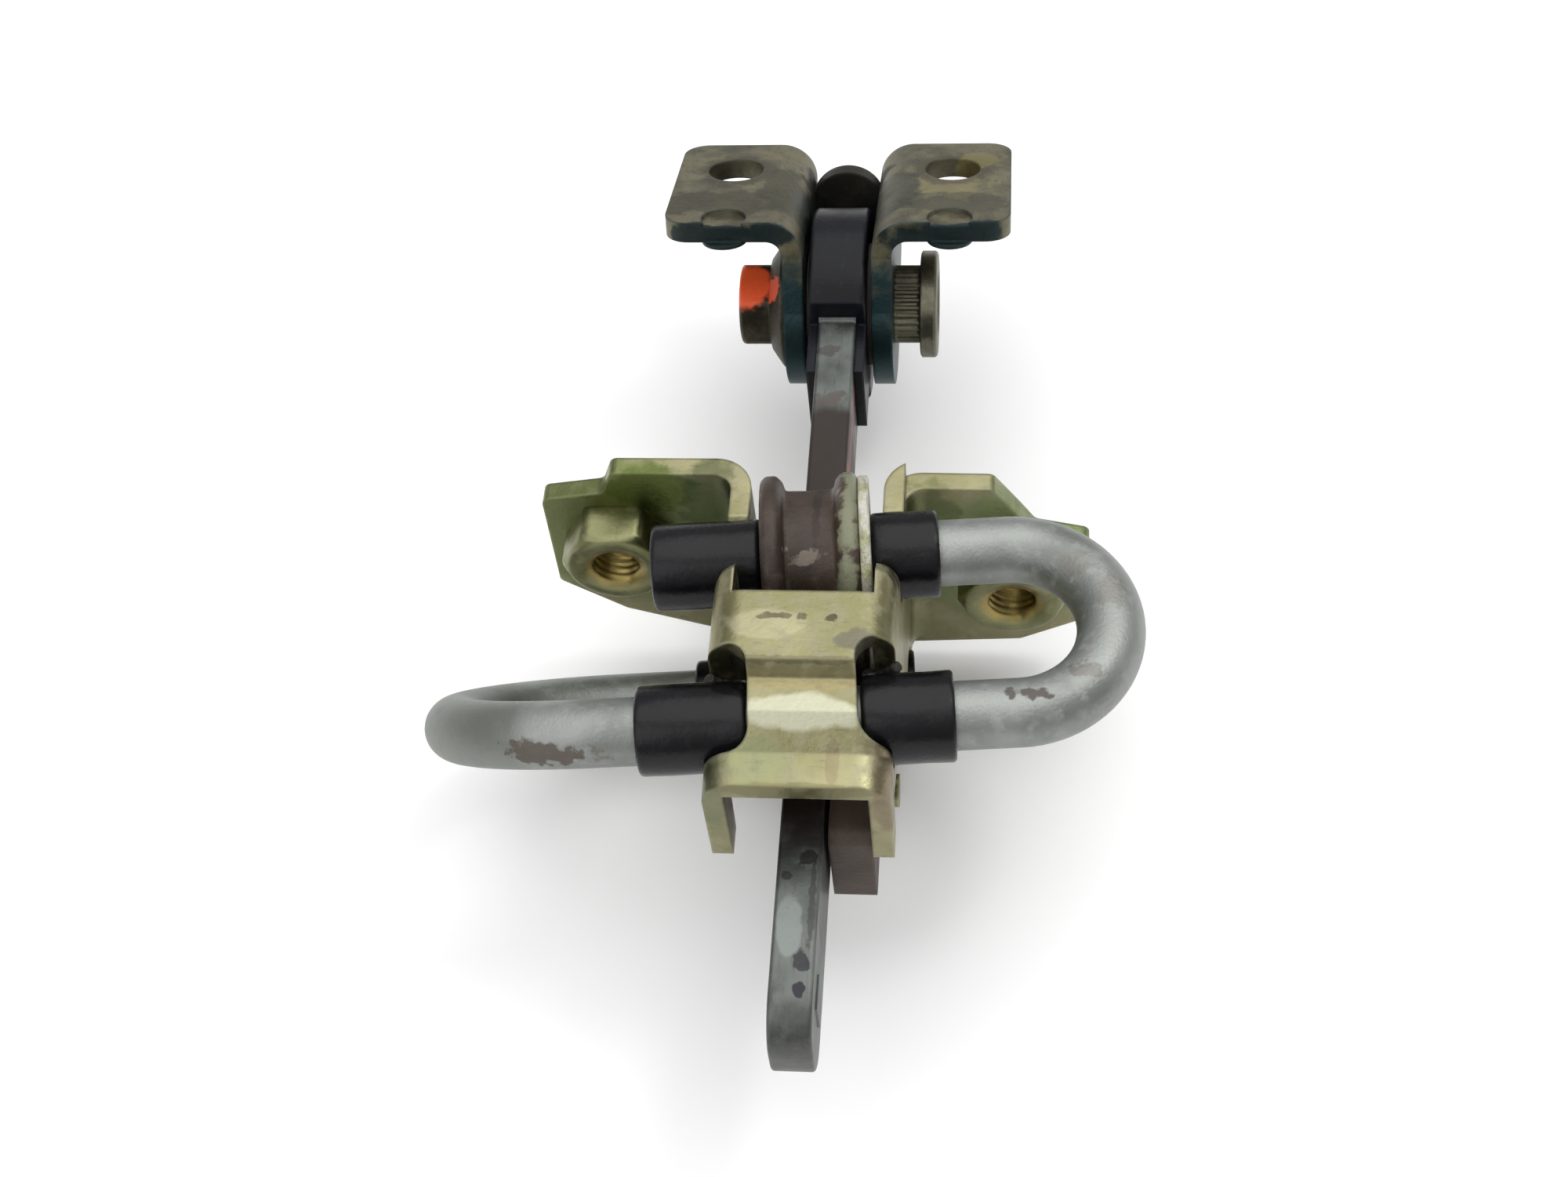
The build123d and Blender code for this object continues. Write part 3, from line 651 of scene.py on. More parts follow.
ARM_STEEL = Finish(
    name="worn_arm_steel",
    base=srgb(102, 106, 103),
    tint=srgb(80, 83, 80),
    second=srgb(118, 122, 119),
    edge=srgb(132, 136, 133),
    scuffed=srgb(58, 54, 51),
    tint_scale=110.0,
    second_scale=260.0,
    scuff_stretch=(1.0, 0.1, 1.0),
    scuff_amount=0.22,
    scuff_share=0.55,
    edge_share=0.4,
    rough=0.42,
    rough_swing=0.15,
    relief_depth=0.1,
    spots=(
        Spot((31.5, 13.0, -4.0), (12.0, 10.0, 30.0), srgb(46, 37, 32), 0.94, 0.12, 220.0, rough=0.5, bare=0.5),
        Spot((31.5, -25.0, -4.0), (12.0, 29.0, 60.0), srgb(56, 46, 42), 0.95, 0.06, 300.0, rough=0.55),
        Spot((31.5, 24.0, 4.0), (2.2, 1.6, 2.0), srgb(88, 80, 76), 0.7, 0.7),
        Spot((30.6, 34.0, 4.0), (2.0, 1.2, 2.0), srgb(78, 74, 72), 0.7, 0.7),
        Spot((32.6, -56.5, 4.0), (1.3, 1.4, 1.6), srgb(52, 50, 50), 0.85, 0.6, 700.0),
        Spot((30.0, -59.5, 4.0), (0.7, 0.7, 1.6), srgb(56, 54, 54), 0.8, 0.6, 800.0),
        Spot((33.6, -64.0, 4.0), (0.5, 6.0, 1.6), srgb(64, 62, 62), 0.6, 0.6, 500.0),
        Spot((32.7, -71.9, 4.0), (1.0, 1.8, 1.6), srgb(58, 56, 60), 0.85, 0.5, 700.0),
        Spot((32.7, -76.0, 4.0), (0.8, 1.0, 1.6), srgb(50, 48, 54), 0.9, 0.4, 800.0),
        # painted highlight: lighter patch on the arm's top edge near the free end, where the rounding edge turns
        # toward the light
        Spot((30.8, -67.0, 4.2), (1.8, 4.0, 1.4), srgb(140, 146, 143), 0.45, 0.25, 220.0),
        # painted shade: darker band across the arm's tip, where the rounded end turns away from the light
        Spot((31.5, -84.2, -4.0), (8.0, 2.0, 14.0), srgb(86, 84, 82), 0.6, 0.3),
        Spot((34.6, 22.0, -1.0), (0.5, 13.0, 0.9), srgb(176, 44, 48), 0.85, 0.25, 500.0, rough=0.5, bare=0.0),
        Spot((34.6, 12.0, 1.0), (0.6, 1.4, 1.4), srgb(186, 36, 40), 0.85, 0.4, 900.0, rough=0.5, bare=0.0),
    ),
)

ROD_STEEL = Finish(
    name="bare_rod_steel",
    base=srgb(146, 149, 145),
    tint=srgb(122, 125, 121),
    second=srgb(168, 171, 166),
    edge=srgb(158, 160, 157),
    scuffed=srgb(96, 92, 88),
    tint_scale=70.0,
    second_scale=520.0,
    second_share=0.5,
    scuff_stretch=(0.3, 1.0, 1.0),
    scuff_scale=2400.0,
    scuff_amount=0.12,
    scuff_share=0.5,
    metal=0.75,
    rough=0.46,
    rough_swing=0.12,
    relief_scale=2200.0,
    relief_depth=0.22,
    spots=(
        Spot((-16.0, -34.0, 4.0), (15.0, 24.0, 20.0), srgb(112, 115, 108), 0.75, 0.15, 160.0),
        Spot((-3.6, -47.6, 15.2), (5.2, 2.0, 1.8), srgb(84, 74, 64), 0.85, 0.6, 600.0, rough=0.7, bare=0.3),
        Spot((3.5, -46.6, 15.2), (3.2, 1.6, 1.6), srgb(112, 104, 96), 0.55, 0.6, 800.0, rough=0.65),
        Spot((61.9, -39.0, 17.6), (4.6, 1.1, 1.8), srgb(82, 74, 68), 0.85, 0.5, 600.0, rough=0.7, bare=0.3),
        Spot((70.0, -35.0, 19.0), (2.2, 1.2, 1.8), srgb(112, 106, 100), 0.6, 0.6, 800.0),
        Spot((68.3, -17.6, 18.2), (3.0, 1.6, 1.6), srgb(122, 116, 110), 0.4, 0.7, 800.0),
        Spot((73.5, -22.0, 19.0), (2.0, 2.6, 2.0), srgb(122, 114, 108), 0.4, 0.7, 800.0),
    ),
)

ROLLER_POLYMER = Finish(
    name="roller_polymer",
    base=srgb(62, 49, 41),
    tint=srgb(46, 36, 30),
    second=srgb(82, 68, 59),
    edge=srgb(112, 104, 90),
    scuffed=srgb(34, 26, 23),
    tint_scale=120.0,
    second_scale=300.0,
    edge_radius=0.0009,
    edge_share=0.75,
    scuff_stretch=(0.3, 1.0, 1.0),
    scuff_amount=0.24,
    metal=0.1,
    rough=0.44,
    rough_swing=0.18,
    relief_depth=0.3,
    coat=0.05,
    specular=0.35,
    spots=(
        Spot((22.8, -15.0, 20.0), (2.2, 9.0, 9.0), srgb(120, 112, 98), 0.65, 0.45, 420.0),
        # painted highlight: light streak on the upper part of the groove, which faces the light
        Spot((31.0, -19.5, 21.0), (2.8, 1.0, 3.0), srgb(132, 122, 110), 0.55, 0.7, 500.0),
        Spot((32.5, -11.0, 23.0), (0.6, 7.0, 3.0), srgb(34, 27, 25), 0.6, 0.6, 500.0),
        Spot((37.3, -14.2, 14.0), (1.9, 16.0, 16.0), srgb(128, 130, 106), 0.85, 0.4, 520.0, rough=0.5),
    ),
)

GUIDE_POLYMER = Finish(
    name="guide_polymer",
    base=srgb(74, 62, 54),
    tint=srgb(62, 51, 44),
    second=srgb(86, 74, 66),
    edge=srgb(102, 90, 82),
    scuffed=srgb(46, 38, 35),
    metal=0.0,
    rough=0.55,
    relief_depth=0.3,
    specular=0.3,
    spots=(Spot((37.4, -56.4, 4.0), (0.9, 1.4, 1.2), srgb(36, 28, 28), 0.9, 0.5, 900.0),),
)

PALE_WASHER = Finish(
    name="chewed_washer",
    base=srgb(190, 188, 176),
    tint=srgb(160, 160, 122),
    second=srgb(222, 222, 216),
    edge=srgb(214, 212, 196),
    scuffed=srgb(92, 86, 76),
    tint_scale=260.0,
    tint_range=(0.42, 0.6),
    second_scale=500.0,
    scuff_amount=0.34,
    scuff_share=0.7,
    metal=0.2,
    rough=0.5,
    relief_depth=0.7,
)

SLEEVE_RUBBER = Finish(
    name="sleeve_rubber",
    base=srgb(12, 12, 16),
    tint=srgb(8, 8, 10),
    second=srgb(19, 19, 23),
    edge=srgb(36, 36, 39),
    scuffed=srgb(46, 44, 46),
    tint_scale=90.0,
    second_scale=500.0,
    scuff_stretch=(0.12, 1.0, 1.0),
    scuff_amount=0.12,
    scuff_share=0.3,
    edge_share=0.3,
    metal=0.0,
    rough=0.24,
    rough_swing=0.12,
    relief_depth=0.14,
    specular=0.26,
)

LIP_RUBBER = Finish(
    name="lip_rubber",
    base=srgb(30, 28, 26),
    tint=srgb(44, 40, 36),
    second=srgb(84, 80, 72),
    edge=srgb(70, 68, 62),
    scuffed=srgb(96, 90, 82),
    second_scale=900.0,
    metal=0.0,
    rough=0.7,
    relief_scale=2000.0,
    relief_pits=0.8,
    relief_depth=0.9,
)

COVER_PLASTIC = Finish(
    name="cover_plastic",
    base=srgb(15, 17, 23),
    tint=srgb(10, 10, 13),
    second=srgb(25, 27, 36),
    edge=srgb(42, 44, 54),
    scuffed=srgb(48, 48, 56),
    tint_scale=80.0,
    scuff_amount=0.18,
    scuff_share=0.3,
    metal=0.0,
    rough=0.34,
    rough_swing=0.14,
    relief_depth=0.16,
    specular=0.2,
    spots=(Spot((31.5, 66.0, 2.0), (6.0, 5.0, 8.0), srgb(14, 13, 13), 0.8, 0.5),),
)

BUSH_PLASTIC = Finish(
    name="bush_plastic",
    base=srgb(40, 36, 34),
    tint=srgb(28, 26, 26),
    second=srgb(58, 52, 48),
    edge=srgb(76, 70, 66),
    scuffed=srgb(70, 64, 60),
    metal=0.0,
    rough=0.5,
)


class Slot(Enum):
    """The record's material slots."""

    OLIVE = "zinc_olive"
    GOLD = "zinc_gold"
    ARM = "arm_steel"
    ROD = "rod_steel"
    PLASTIC = "black_plastic"
    RUBBER = "black_rubber"
    BUSH = "bush_plastic"
    TAUPE = "taupe_plastic"
    WASHER = "pale_washer"


# ---- making meshes ---------------------------------------------------------------


@dataclass(frozen=True)
class Spindle:
    """A line that round pieces are built about: a point on it and its direction."""

    origin: Vector
    along: Vector

    def basis(self) -> tuple:
        """Returns two directions square to the line and to each other."""
        guide = Vector((0, 1, 0)) if abs(self.along.y) < 0.9 else Vector((0, 0, 1))
        first = (guide - self.along * guide.dot(self.along)).normalized()
        return first, self.along.cross(first)

    def at(self, distance: float, radius: float, turn: float) -> Vector:
        """Finds a point about the line.

        Args:
            distance: distance along the line.
            radius: distance from the line.
            turn: angle round it, in radians.

        Returns:
            The point.
        """
        first, second = self.basis()
        return self.origin + self.along * distance + (first * math.cos(turn) + second * math.sin(turn)) * radius


def soften(points: Sequence[tuple], radius: float, steps: int = 4, closed: bool = True) -> list:
    """Rounds the corners of an outline.

    Args:
        points: the outline's corners as pairs.
        radius: how far each corner is cut back.
        steps: points on each rounded corner.
        closed: whether the last point joins the first.

    Returns:
        The rounded outline.
    """
    count = len(points)
    rounded: list = []
    for index, point in enumerate(points):
        if not closed and index in (0, count - 1):
            rounded.append(tuple(point))
            continue
        here = Vector((*point, 0))
        before = Vector((*points[index - 1], 0)) - here
        after = Vector((*points[(index + 1) % count], 0)) - here
        reach = min(radius, before.length * 0.45, after.length * 0.45)
        start = here + before.normalized() * reach
        end = here + after.normalized() * reach
        for step in range(steps + 1):
            t = step / steps
            spot = start * (1 - t) ** 2 + here * (2 * t * (1 - t)) + end * t**2
            rounded.append((spot.x, spot.y))
    return rounded


def quad(low: int, high: int, count: int, here: int, after: int) -> tuple:
    """Finds one face between two rings of points.

    Args:
        low: first ring.
        high: second ring.
        count: points in each ring.
        here: point in the ring.
        after: the point after it.

    Returns:
        The face's four point numbers.
    """
    return low * count + here, low * count + after, high * count + after, high * count + here


def circle(radius: float) -> Callable[[float], float]:
    """Makes a radius function that is the same all round.

    Args:
        radius: the radius in millimetres.

    Returns:
        The function, which takes an angle and gives metres.
    """
    return lambda turn: radius * MM


def piece(
    name: str, verts: Sequence, faces: Sequence, finish: Finish, sharp: float = 35.0
) -> bpy.types.Object:
    """Makes a visible piece from points in the part's frame.

    Args:
        name: the piece's name.
        verts: its points, in metres.
        faces: its faces as lists of point numbers.
        finish: its finish.
        sharp: angle in degrees above which an edge stays sharp.

    Returns:
        The piece.
    """
    mesh = bpy.data.meshes.new(name)
    mesh.from_pydata([tuple(v) for v in verts], [], [tuple(f) for f in faces])
    mesh.update()
    mesh.shade_smooth()
    mesh.set_sharp_from_angle(angle=math.radians(sharp))
    made = bpy.data.objects.new(name, mesh)
    bpy.context.scene.collection.objects.link(made)
    made.data.materials.append(finish.material())
    return made


def turned(
    name: str,
    spindle: Spindle,
    profile: Sequence[tuple],
    finish: Finish,
    slot: Slot,
    steps: int = 96,
    wobble: Optional[object] = None,
) -> bpy.types.Object:
    """Turns a closed profile about a spindle.

    Args:
        name: the piece's name.
        spindle: the line it is turned about.
        profile: closed outline of (distance, radius) pairs, in metres.
        finish: its finish.
        slot: the record's slot. Not used.
        steps: segments round the spindle.
        wobble: function of distance, radius and angle that gives them changed.

    Returns:
        The piece.
    """
    count = len(profile)
    verts = []
    for step in range(steps):
        turn = 2 * math.pi * step / steps
        for distance, radius in profile:
            if wobble:
                distance, radius = wobble(distance, radius, turn)
            verts.append(spindle.at(distance, max(radius, 1e-6), turn))
    faces = []
    for step in range(steps):
        near, far = step * count, (step + 1) % steps * count
        for index in range(count):
            nxt = (index + 1) % count
            faces.append((near + index, near + nxt, far + nxt, far + index))
    return piece(name, verts, faces, finish)


def tube(
    name: str, line: Sequence[Vector], radius: float, finish: Finish, sides: int = 48
) -> bpy.types.Object:
    """Sweeps a round bar along a line, with its two ends rounded over.

    Args:
        name: the piece's name.
        line: the bar's centre line.
        radius: the bar's radius.
        finish: its finish.
        sides: segments round the bar.

    Returns:
        The piece.
    """
    rings: list = []
    normal: Optional[Vector] = None
    for index, point in enumerate(line):
        ahead = (line[min(index + 1, len(line) - 1)] - line[max(index - 1, 0)]).normalized()
        if normal is None:
            normal = ahead.orthogonal().normalized()
        normal = (normal - ahead * normal.dot(ahead)).normalized()
        rings.append((point, ahead, normal.copy(), radius))
    for end, way in ((0, -1), (len(line) - 1, 1)):
        point, ahead, across, _ = rings[0] if end == 0 else rings[-1]
        for step in range(1, 5):
            turn = math.radians(22 * step)
            moved = point + ahead * (way * 0.18 * radius * math.sin(turn))
            ring = (moved, ahead, across, radius * (1 - 0.25 * (1 - math.cos(turn))))
            rings.insert(0, ring) if end == 0 else rings.append(ring)
    verts: list = []
    for point, ahead, across, size in rings:
        other = ahead.cross(across)
        for side in range(sides):
            turn = 2 * math.pi * side / sides
            verts.append(point + (across * math.cos(turn) + other * math.sin(turn)) * size)
    faces: list = []
    for ring in range(len(rings) - 1):
        for side in range(sides):
            nxt = (side + 1) % sides
            faces.append(quad(ring, ring + 1, sides, side, nxt))
    faces.append(tuple(range(sides))[::-1])
    faces.append(tuple(range((len(rings) - 1) * sides, len(rings) * sides)))
    return piece(name, verts, faces, finish)


def stack(
    name: str,
    spindle: Spindle,
    rings: Sequence[tuple],
    finish: Finish,
    steps: int = 144,
) -> bpy.types.Object:
    """Joins closed rings whose radius may change with the angle, such as a hex or a knurl.

    Args:
        name: the piece's name.
        spindle: the line the rings stand about.
        rings: (distance, function of the angle giving the radius) in order, the last joining the first.
        finish: its finish.
        steps: points on each ring.

    Returns:
        The piece.
    """
    verts = []
    for distance, radius_at in rings:
        for step in range(steps):
            turn = 2 * math.pi * step / steps
            verts.append(spindle.at(distance, radius_at(turn), turn))
    faces = []
    for ring in range(len(rings) - 1):
        for step in range(steps):
            nxt = (step + 1) % steps
            faces.append(quad(ring, ring + 1, steps, step, nxt))
    faces.append(tuple(range(steps))[::-1])
    faces.append(tuple(range((len(rings) - 1) * steps, len(rings) * steps)))
    return piece(name, verts, faces, finish, 28.0)


def dress(node: str, finish: Finish) -> None:
    """Gives a CAD node its finish.

    Args:
        node: the node's name.
        finish: the finish.
    """
    shown = frame["nodes"][node]
    shown.data.materials.clear()
    shown.data.materials.append(finish.material())


def joint(name: str) -> dict:
    """Returns the record's joint of that name."""
    return next(j for j in frame["joints"] if j["name"] == name)


def middle(node: str) -> Vector:
    """Returns the middle of a CAD node's box."""
    low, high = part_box(node)
    return (low + high) / 2


# ---- the assemblies --------------------------------------------------------------


@dataclass
class Clevis:
    """The folded pillar clevis with its pin and bolt. Sizes are in millimetres."""

    hex_flats: float = 13.0
    hex_turn: float = 13.0
    flange_radius: float = 10.4
    ear_out: float = 8.8
    bolt_flange: float = 2.8
    bolt_hex: float = 5.2
    knurl_radius: float = 6.4
    knurl_teeth: int = 30
    knurl_length: float = 4.2
    head_radius: float = 8.8
    head_thick: float = 2.8

    def build(self) -> None:
        """Makes the bolt and the pin and dresses the folded bracket."""
        dress("clevis_bracket", CLEVIS_ZINC)
        pivot = Vector(joint("clevis_pivot")["pos_m"])
        self.bolt(Spindle(pivot, Vector((-1, 0, 0))))
        self.pin(Spindle(pivot, Vector((1, 0, 0))))
        log.info("clevis: bracket, bolt and pin")

    def bolt(self, spindle: Spindle) -> None:
        """Makes the flanged hex bolt.

        Args:
            spindle: the pivot axis, pointing out of the bolt's ear.
        """
        half = self.hex_flats / 2
        start = self.ear_out
        seat = start + self.bolt_flange
        top = seat + self.bolt_hex

        def hexagon(scale: float, blend: float) -> object:
            """Returns a radius function between a hexagon and its inner circle."""

            def radius(turn: float) -> float:
                """Returns the radius at an angle."""
                local = (turn + math.radians(self.hex_turn)) % (math.pi / 3) - math.pi / 6
                flat = half / math.cos(local)
                corner = half / math.cos(math.pi / 6)
                soft = min(flat, corner - 0.25)
                return (soft * (1 - blend) + half * blend) * scale * MM

            return radius

        rings = [
            (start * MM, circle(self.flange_radius - 0.25)),
            ((start + 0.2) * MM, circle(self.flange_radius)),
            ((start + 0.85) * MM, circle(self.flange_radius)),
            ((start + 1.1) * MM, circle(self.flange_radius - 0.25)),
            ((seat - 0.3) * MM, circle(8.1)),
            (seat * MM, circle(7.65)),
            (seat * MM, hexagon(1.0, 0.0)),
            ((top - 0.9) * MM, hexagon(1.0, 0.0)),
            ((top - 0.35) * MM, hexagon(1.0, 0.55)),
            ((top - 0.1) * MM, hexagon(0.97, 1.0)),
            (top * MM, hexagon(0.92, 1.0)),
            ((top - 0.05) * MM, hexagon(0.72, 1.0)),
            ((top - 0.45) * MM, hexagon(0.64, 1.0)),
            ((top - 0.5) * MM, hexagon(0.2, 1.0)),
        ]
        made = stack("pivot_bolt_head", spindle, rings, BOLT_ZINC)
        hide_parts("pivot_bolt")
        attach(made, "clevis")

    def pin(self, spindle: Spindle) -> None:
        """Makes the knurled pin with its disc head.

        Args:
            spindle: the pivot axis, pointing out of the pin's ear.
        """
        start = self.ear_out
        head = start + self.knurl_length
        top = head + self.head_thick

        def knurl(depth: float) -> object:
            """Returns a toothed radius function."""
            teeth = self.knurl_teeth
            return lambda turn: (self.knurl_radius - depth * (0.5 + 0.5 * math.cos(turn * teeth))) * MM

        rings = [
            ((start - 0.2) * MM, circle(self.knurl_radius - 0.2)),
            (start * MM, knurl(0.2)),
            ((start + 0.3) * MM, knurl(0.62)),
            ((head - 0.5) * MM, knurl(0.62)),
            ((head - 0.2) * MM, knurl(0.2)),
            (head * MM, circle(self.knurl_radius + 0.1)),
            (head * MM, circle(self.head_radius - 0.4)),
            ((head + 0.25) * MM, circle(self.head_radius)),
            ((top - 0.5) * MM, circle(self.head_radius)),
            ((top - 0.15) * MM, circle(self.head_radius - 0.2)),
            (top * MM, circle(self.head_radius - 0.6)),
            (top * MM, circle(5.6)),
            ((top - 0.4) * MM, circle(5.2)),
            ((top - 0.5) * MM, circle(1.0)),
        ]
        made = stack("pivot_pin_body", spindle, rings, PIN_ZINC, 360)
        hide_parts("pivot_pin")
        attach(made, "clevis")


@dataclass
class Arm:
    """The check arm with its moulded cover and bushes."""

    def build(self) -> None:
        """Dresses the arm's nodes."""
        dress("check_arm", ARM_STEEL)
        dress("arm_cover", COVER_PLASTIC)
        dress("pivot_bush_left", BUSH_PLASTIC)
        dress("pivot_bush_right", BUSH_PLASTIC)
        log.info("arm: blade, cover and bushes")


@dataclass
class Roller:
    """One grooved roller with its washer. Sizes are in millimetres."""

    wheel: str
    groove_radius: float = 9.9
    groove_width: float = 7.4
    rim_radius: float = 12.29
    rim_thick: float = 3.2
    bore: float = 4.8
    washer_radius: float = 11.9
    washer_thick: float = 1.5

    def spindle(self) -> Spindle:
        """Returns the roller's own axis."""
        turning = joint(f"{self.wheel}_roller_spin")
        return Spindle(Vector(turning["pos_m"]), Vector(turning["axis"]).normalized())

    def build(self) -> None:
        """Makes the roller and its washer."""
        half = self.groove_width / 2
        edge = half + self.rim_thick
        outline = [
            (-edge, self.bore),
            (-edge, self.bore + 2.2),
            (-edge + 0.5, self.bore + 3.0),
            (-edge + 0.5, self.rim_radius - 2.6),
            (-edge, self.rim_radius - 1.8),
            (-edge, self.rim_radius - 0.7),
            (-edge + 0.7, self.rim_radius),
            (-half - 1.0, self.rim_radius),
            (-half - 0.15, self.rim_radius - 0.9),
            (-half + 0.25, self.groove_radius + 0.15),
            (0.0, self.groove_radius),
            (half - 0.25, self.groove_radius + 0.15),
            (half + 0.15, self.rim_radius - 0.9),
            (half + 1.0, self.rim_radius),
            (edge - 0.7, self.rim_radius),
            (edge, self.rim_radius - 0.7),
            (edge, self.bore),
        ]
        profile = [(x * MM, r * MM) for x, r in soften(outline, 0.4, 3)]
        made = turned(f"{self.wheel}_roller_wheel", self.spindle(), profile, ROLLER_POLYMER, Slot.TAUPE, 128)
        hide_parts(f"{self.wheel}_roller")
        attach(made, f"{self.wheel}_wheel")
        self.washer(edge + 0.05)
        log.info("%s roller: wheel and washer", self.wheel)

    def washer(self, start: float) -> None:
        """Makes the worn washer.

        Args:
            start: its inner face's distance along the axis.
        """
        end = start + self.washer_thick
        outline = [
            (start, self.bore),
            (start, self.washer_radius),
            (end, self.washer_radius),
            (end, self.bore),
        ]

        def ragged(distance: float, radius: float, turn: float) -> tuple:
            """Chews the washer's rim.

            Args:
                distance: distance along the axis.
                radius: distance from it.
                turn: angle.

            Returns:
                The changed distance and radius.
            """
            if radius > self.washer_radius * MM * 0.9:
                chew = 0.5 + 0.5 * math.sin(turn * 9 + 2 * math.sin(turn * 4))
                radius -= 0.25 * MM * chew
            return distance, radius

        profile = [(x * MM, r * MM) for x, r in soften(outline, 0.35, 3)]
        made = turned(
            f"{self.wheel}_thrust_washer", self.spindle(), profile, PALE_WASHER, Slot.WASHER, 144, ragged
        )
        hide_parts(f"{self.wheel}_washer")
        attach(made, "holder")


@dataclass
class Rod:
    """The torsion rod and its sleeves. Sizes are in millimetres, along the rod's own axes."""

    radius: float = 4.75
    leg_pitch: float = 27.2
    right_bend: float = 27.5
    left_bend: float = -31.0
    left_end: float = -21.0
    right_end: float = 12.0
    sleeve_radius: float = 6.3
    cap: float = 1.8
    skin: float = 0.01
    lip_radius: float = 0.85
    lip_inner: float = 8.6
    lip_outer: float = 12.8
    lip_drop: float = 0.4

    def axes(self) -> tuple:
        """Returns the front roller's point as the rod's start point, the rear roller's point, the rod's long axis
        and its cross axis.
        """
        front, rear = joint("front_roller_spin"), joint("rear_roller_spin")
        along = Vector(front["axis"]).normalized()
        across = Vector((0, 0, 1)).cross(along)
        return Vector(front["pos_m"]), Vector(rear["pos_m"]), along, across

    def build(self) -> None:
        """Makes the rod and the sleeves."""
        front, rear, along, across = self.axes()
        second = front - across * (self.leg_pitch * MM)
        line = [front + along * (self.left_end * MM)]
        line += self.bend(front, second, along, self.right_bend * MM, 1, 40)
        line += self.bend(second, rear, along, self.left_bend * MM, -1, 56)
        line.append(rear + along * (self.right_end * MM))
        made = tube("torsion_bar", self.even(line), (self.radius - self.skin) * MM, ROD_STEEL)
        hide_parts("torsion_rod")
        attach(made, "holder")
        for node, leg in (
            ("front_sleeve_left", front),
            ("front_sleeve_right", front),
            ("middle_sleeve_left", second),
            ("middle_sleeve_right", second),
            ("rear_sleeve_left", rear),
            ("rear_sleeve_right", rear),
        ):
            self.sleeve(node, Spindle(leg, along))
        for hand, sign in (("left", -1), ("right", 1)):
            self.lip(hand, sign)
        log.info("rod: bar and sleeves")

    def lip(self, hand: str, sign: int) -> None:
        """Makes the lumpy rubber squeezed out beside the wall's edge over a middle sleeve.

        Args:
            hand: left or right.
            sign: -1 for the left side, 1 for the right.
        """
        node = f"middle_sleeve_{hand}"
        low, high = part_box(node)
        arm = middle("check_arm").x
        top = (low.z + high.z) / 2 + self.lip_drop * MM
        back = (low.y + high.y) / 2 + self.sleeve_radius * MM
        line = []
        for step in range(25):
            t = step / 24
            reach = self.lip_inner + (self.lip_outer - self.lip_inner) * t
            lump = 0.28 * math.sin(7.0 * t + sign) + 0.16 * math.sin(19.0 * t)
            spot = Vector((arm + sign * reach * MM, back, top + (2.4 * t * t + lump) * MM))
            line.append(spot)
        made = tube(f"{node}_lip", line, self.lip_radius * MM, LIP_RUBBER, 20)
        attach(made, "holder")

    @staticmethod
    def bend(start: Vector, end: Vector, along: Vector, at: float, way: int, steps: int) -> list:
        """Finds the points of one half-round bend between two legs.

        Args:
            start: first leg's origin.
            end: second leg's origin.
            along: the rod's long axis.
            at: distance of the bend's centre along it.
            way: 1 for a bend that bulges along the axis, -1 against it.
            steps: number of segments.

        Returns:
            The points.
        """
        centre = (start + end) / 2 + along * at
        arm = (start - end) / 2
        points = []
        for step in range(steps + 1):
            turn = math.pi * step / steps
            points.append(centre + arm * math.cos(turn) + along * (way * arm.length * math.sin(turn)))
        return points

    @staticmethod
    def even(line: Sequence[Vector], gap: float = 0.0022) -> list:
        """Adds points on a line's long straight runs.

        Args:
            line: the line's points.
            gap: longest run left whole.

        Returns:
            The denser line.
        """
        dense = [line[0]]
        for here, nxt in zip(line, line[1:]):
            parts = max(1, round((nxt - here).length / gap))
            dense += [here.lerp(nxt, (n + 1) / parts) for n in range(parts)]
        return dense

    def sleeve(self, node: str, spindle: Spindle) -> None:
        """Makes one moulded sleeve in place of its CAD node.

        Args:
            node: the CAD node.
            spindle: the leg it sits on.
        """
        corners = [Vector(v.co) - spindle.origin for v in frame["nodes"][node].data.vertices]
        reach = [v.dot(spindle.along) for v in corners]
        low, high = min(reach), max(reach)
        blind_low = node == "front_sleeve_left"
        blind_high = node == "rear_sleeve_right"
        size = self.sleeve_radius * MM
        hole = self.radius * MM
        outline = [
            (low, 0.2 * MM if blind_low else hole),
            (low, size * 0.985),
            (low + 0.3 * (high - low), size),
            (low + 0.7 * (high - low), size * 0.985),
            (high, size),
            (high, 0.2 * MM if blind_high else hole),
        ]
        if blind_low:
            outline += [(high - 0.3 * MM, hole), (low + self.cap * MM, hole), (low + self.cap * MM, 0.2 * MM)]
        if blind_high:
            outline += [(high - self.cap * MM, 0.2 * MM), (high - self.cap * MM, hole)]
        profile = soften(outline, 0.9 * MM, 5)
        made = turned(f"{node}_moulding", spindle, profile, SLEEVE_RUBBER, Slot.RUBBER, 96)
        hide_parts(node)
        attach(made, "holder")


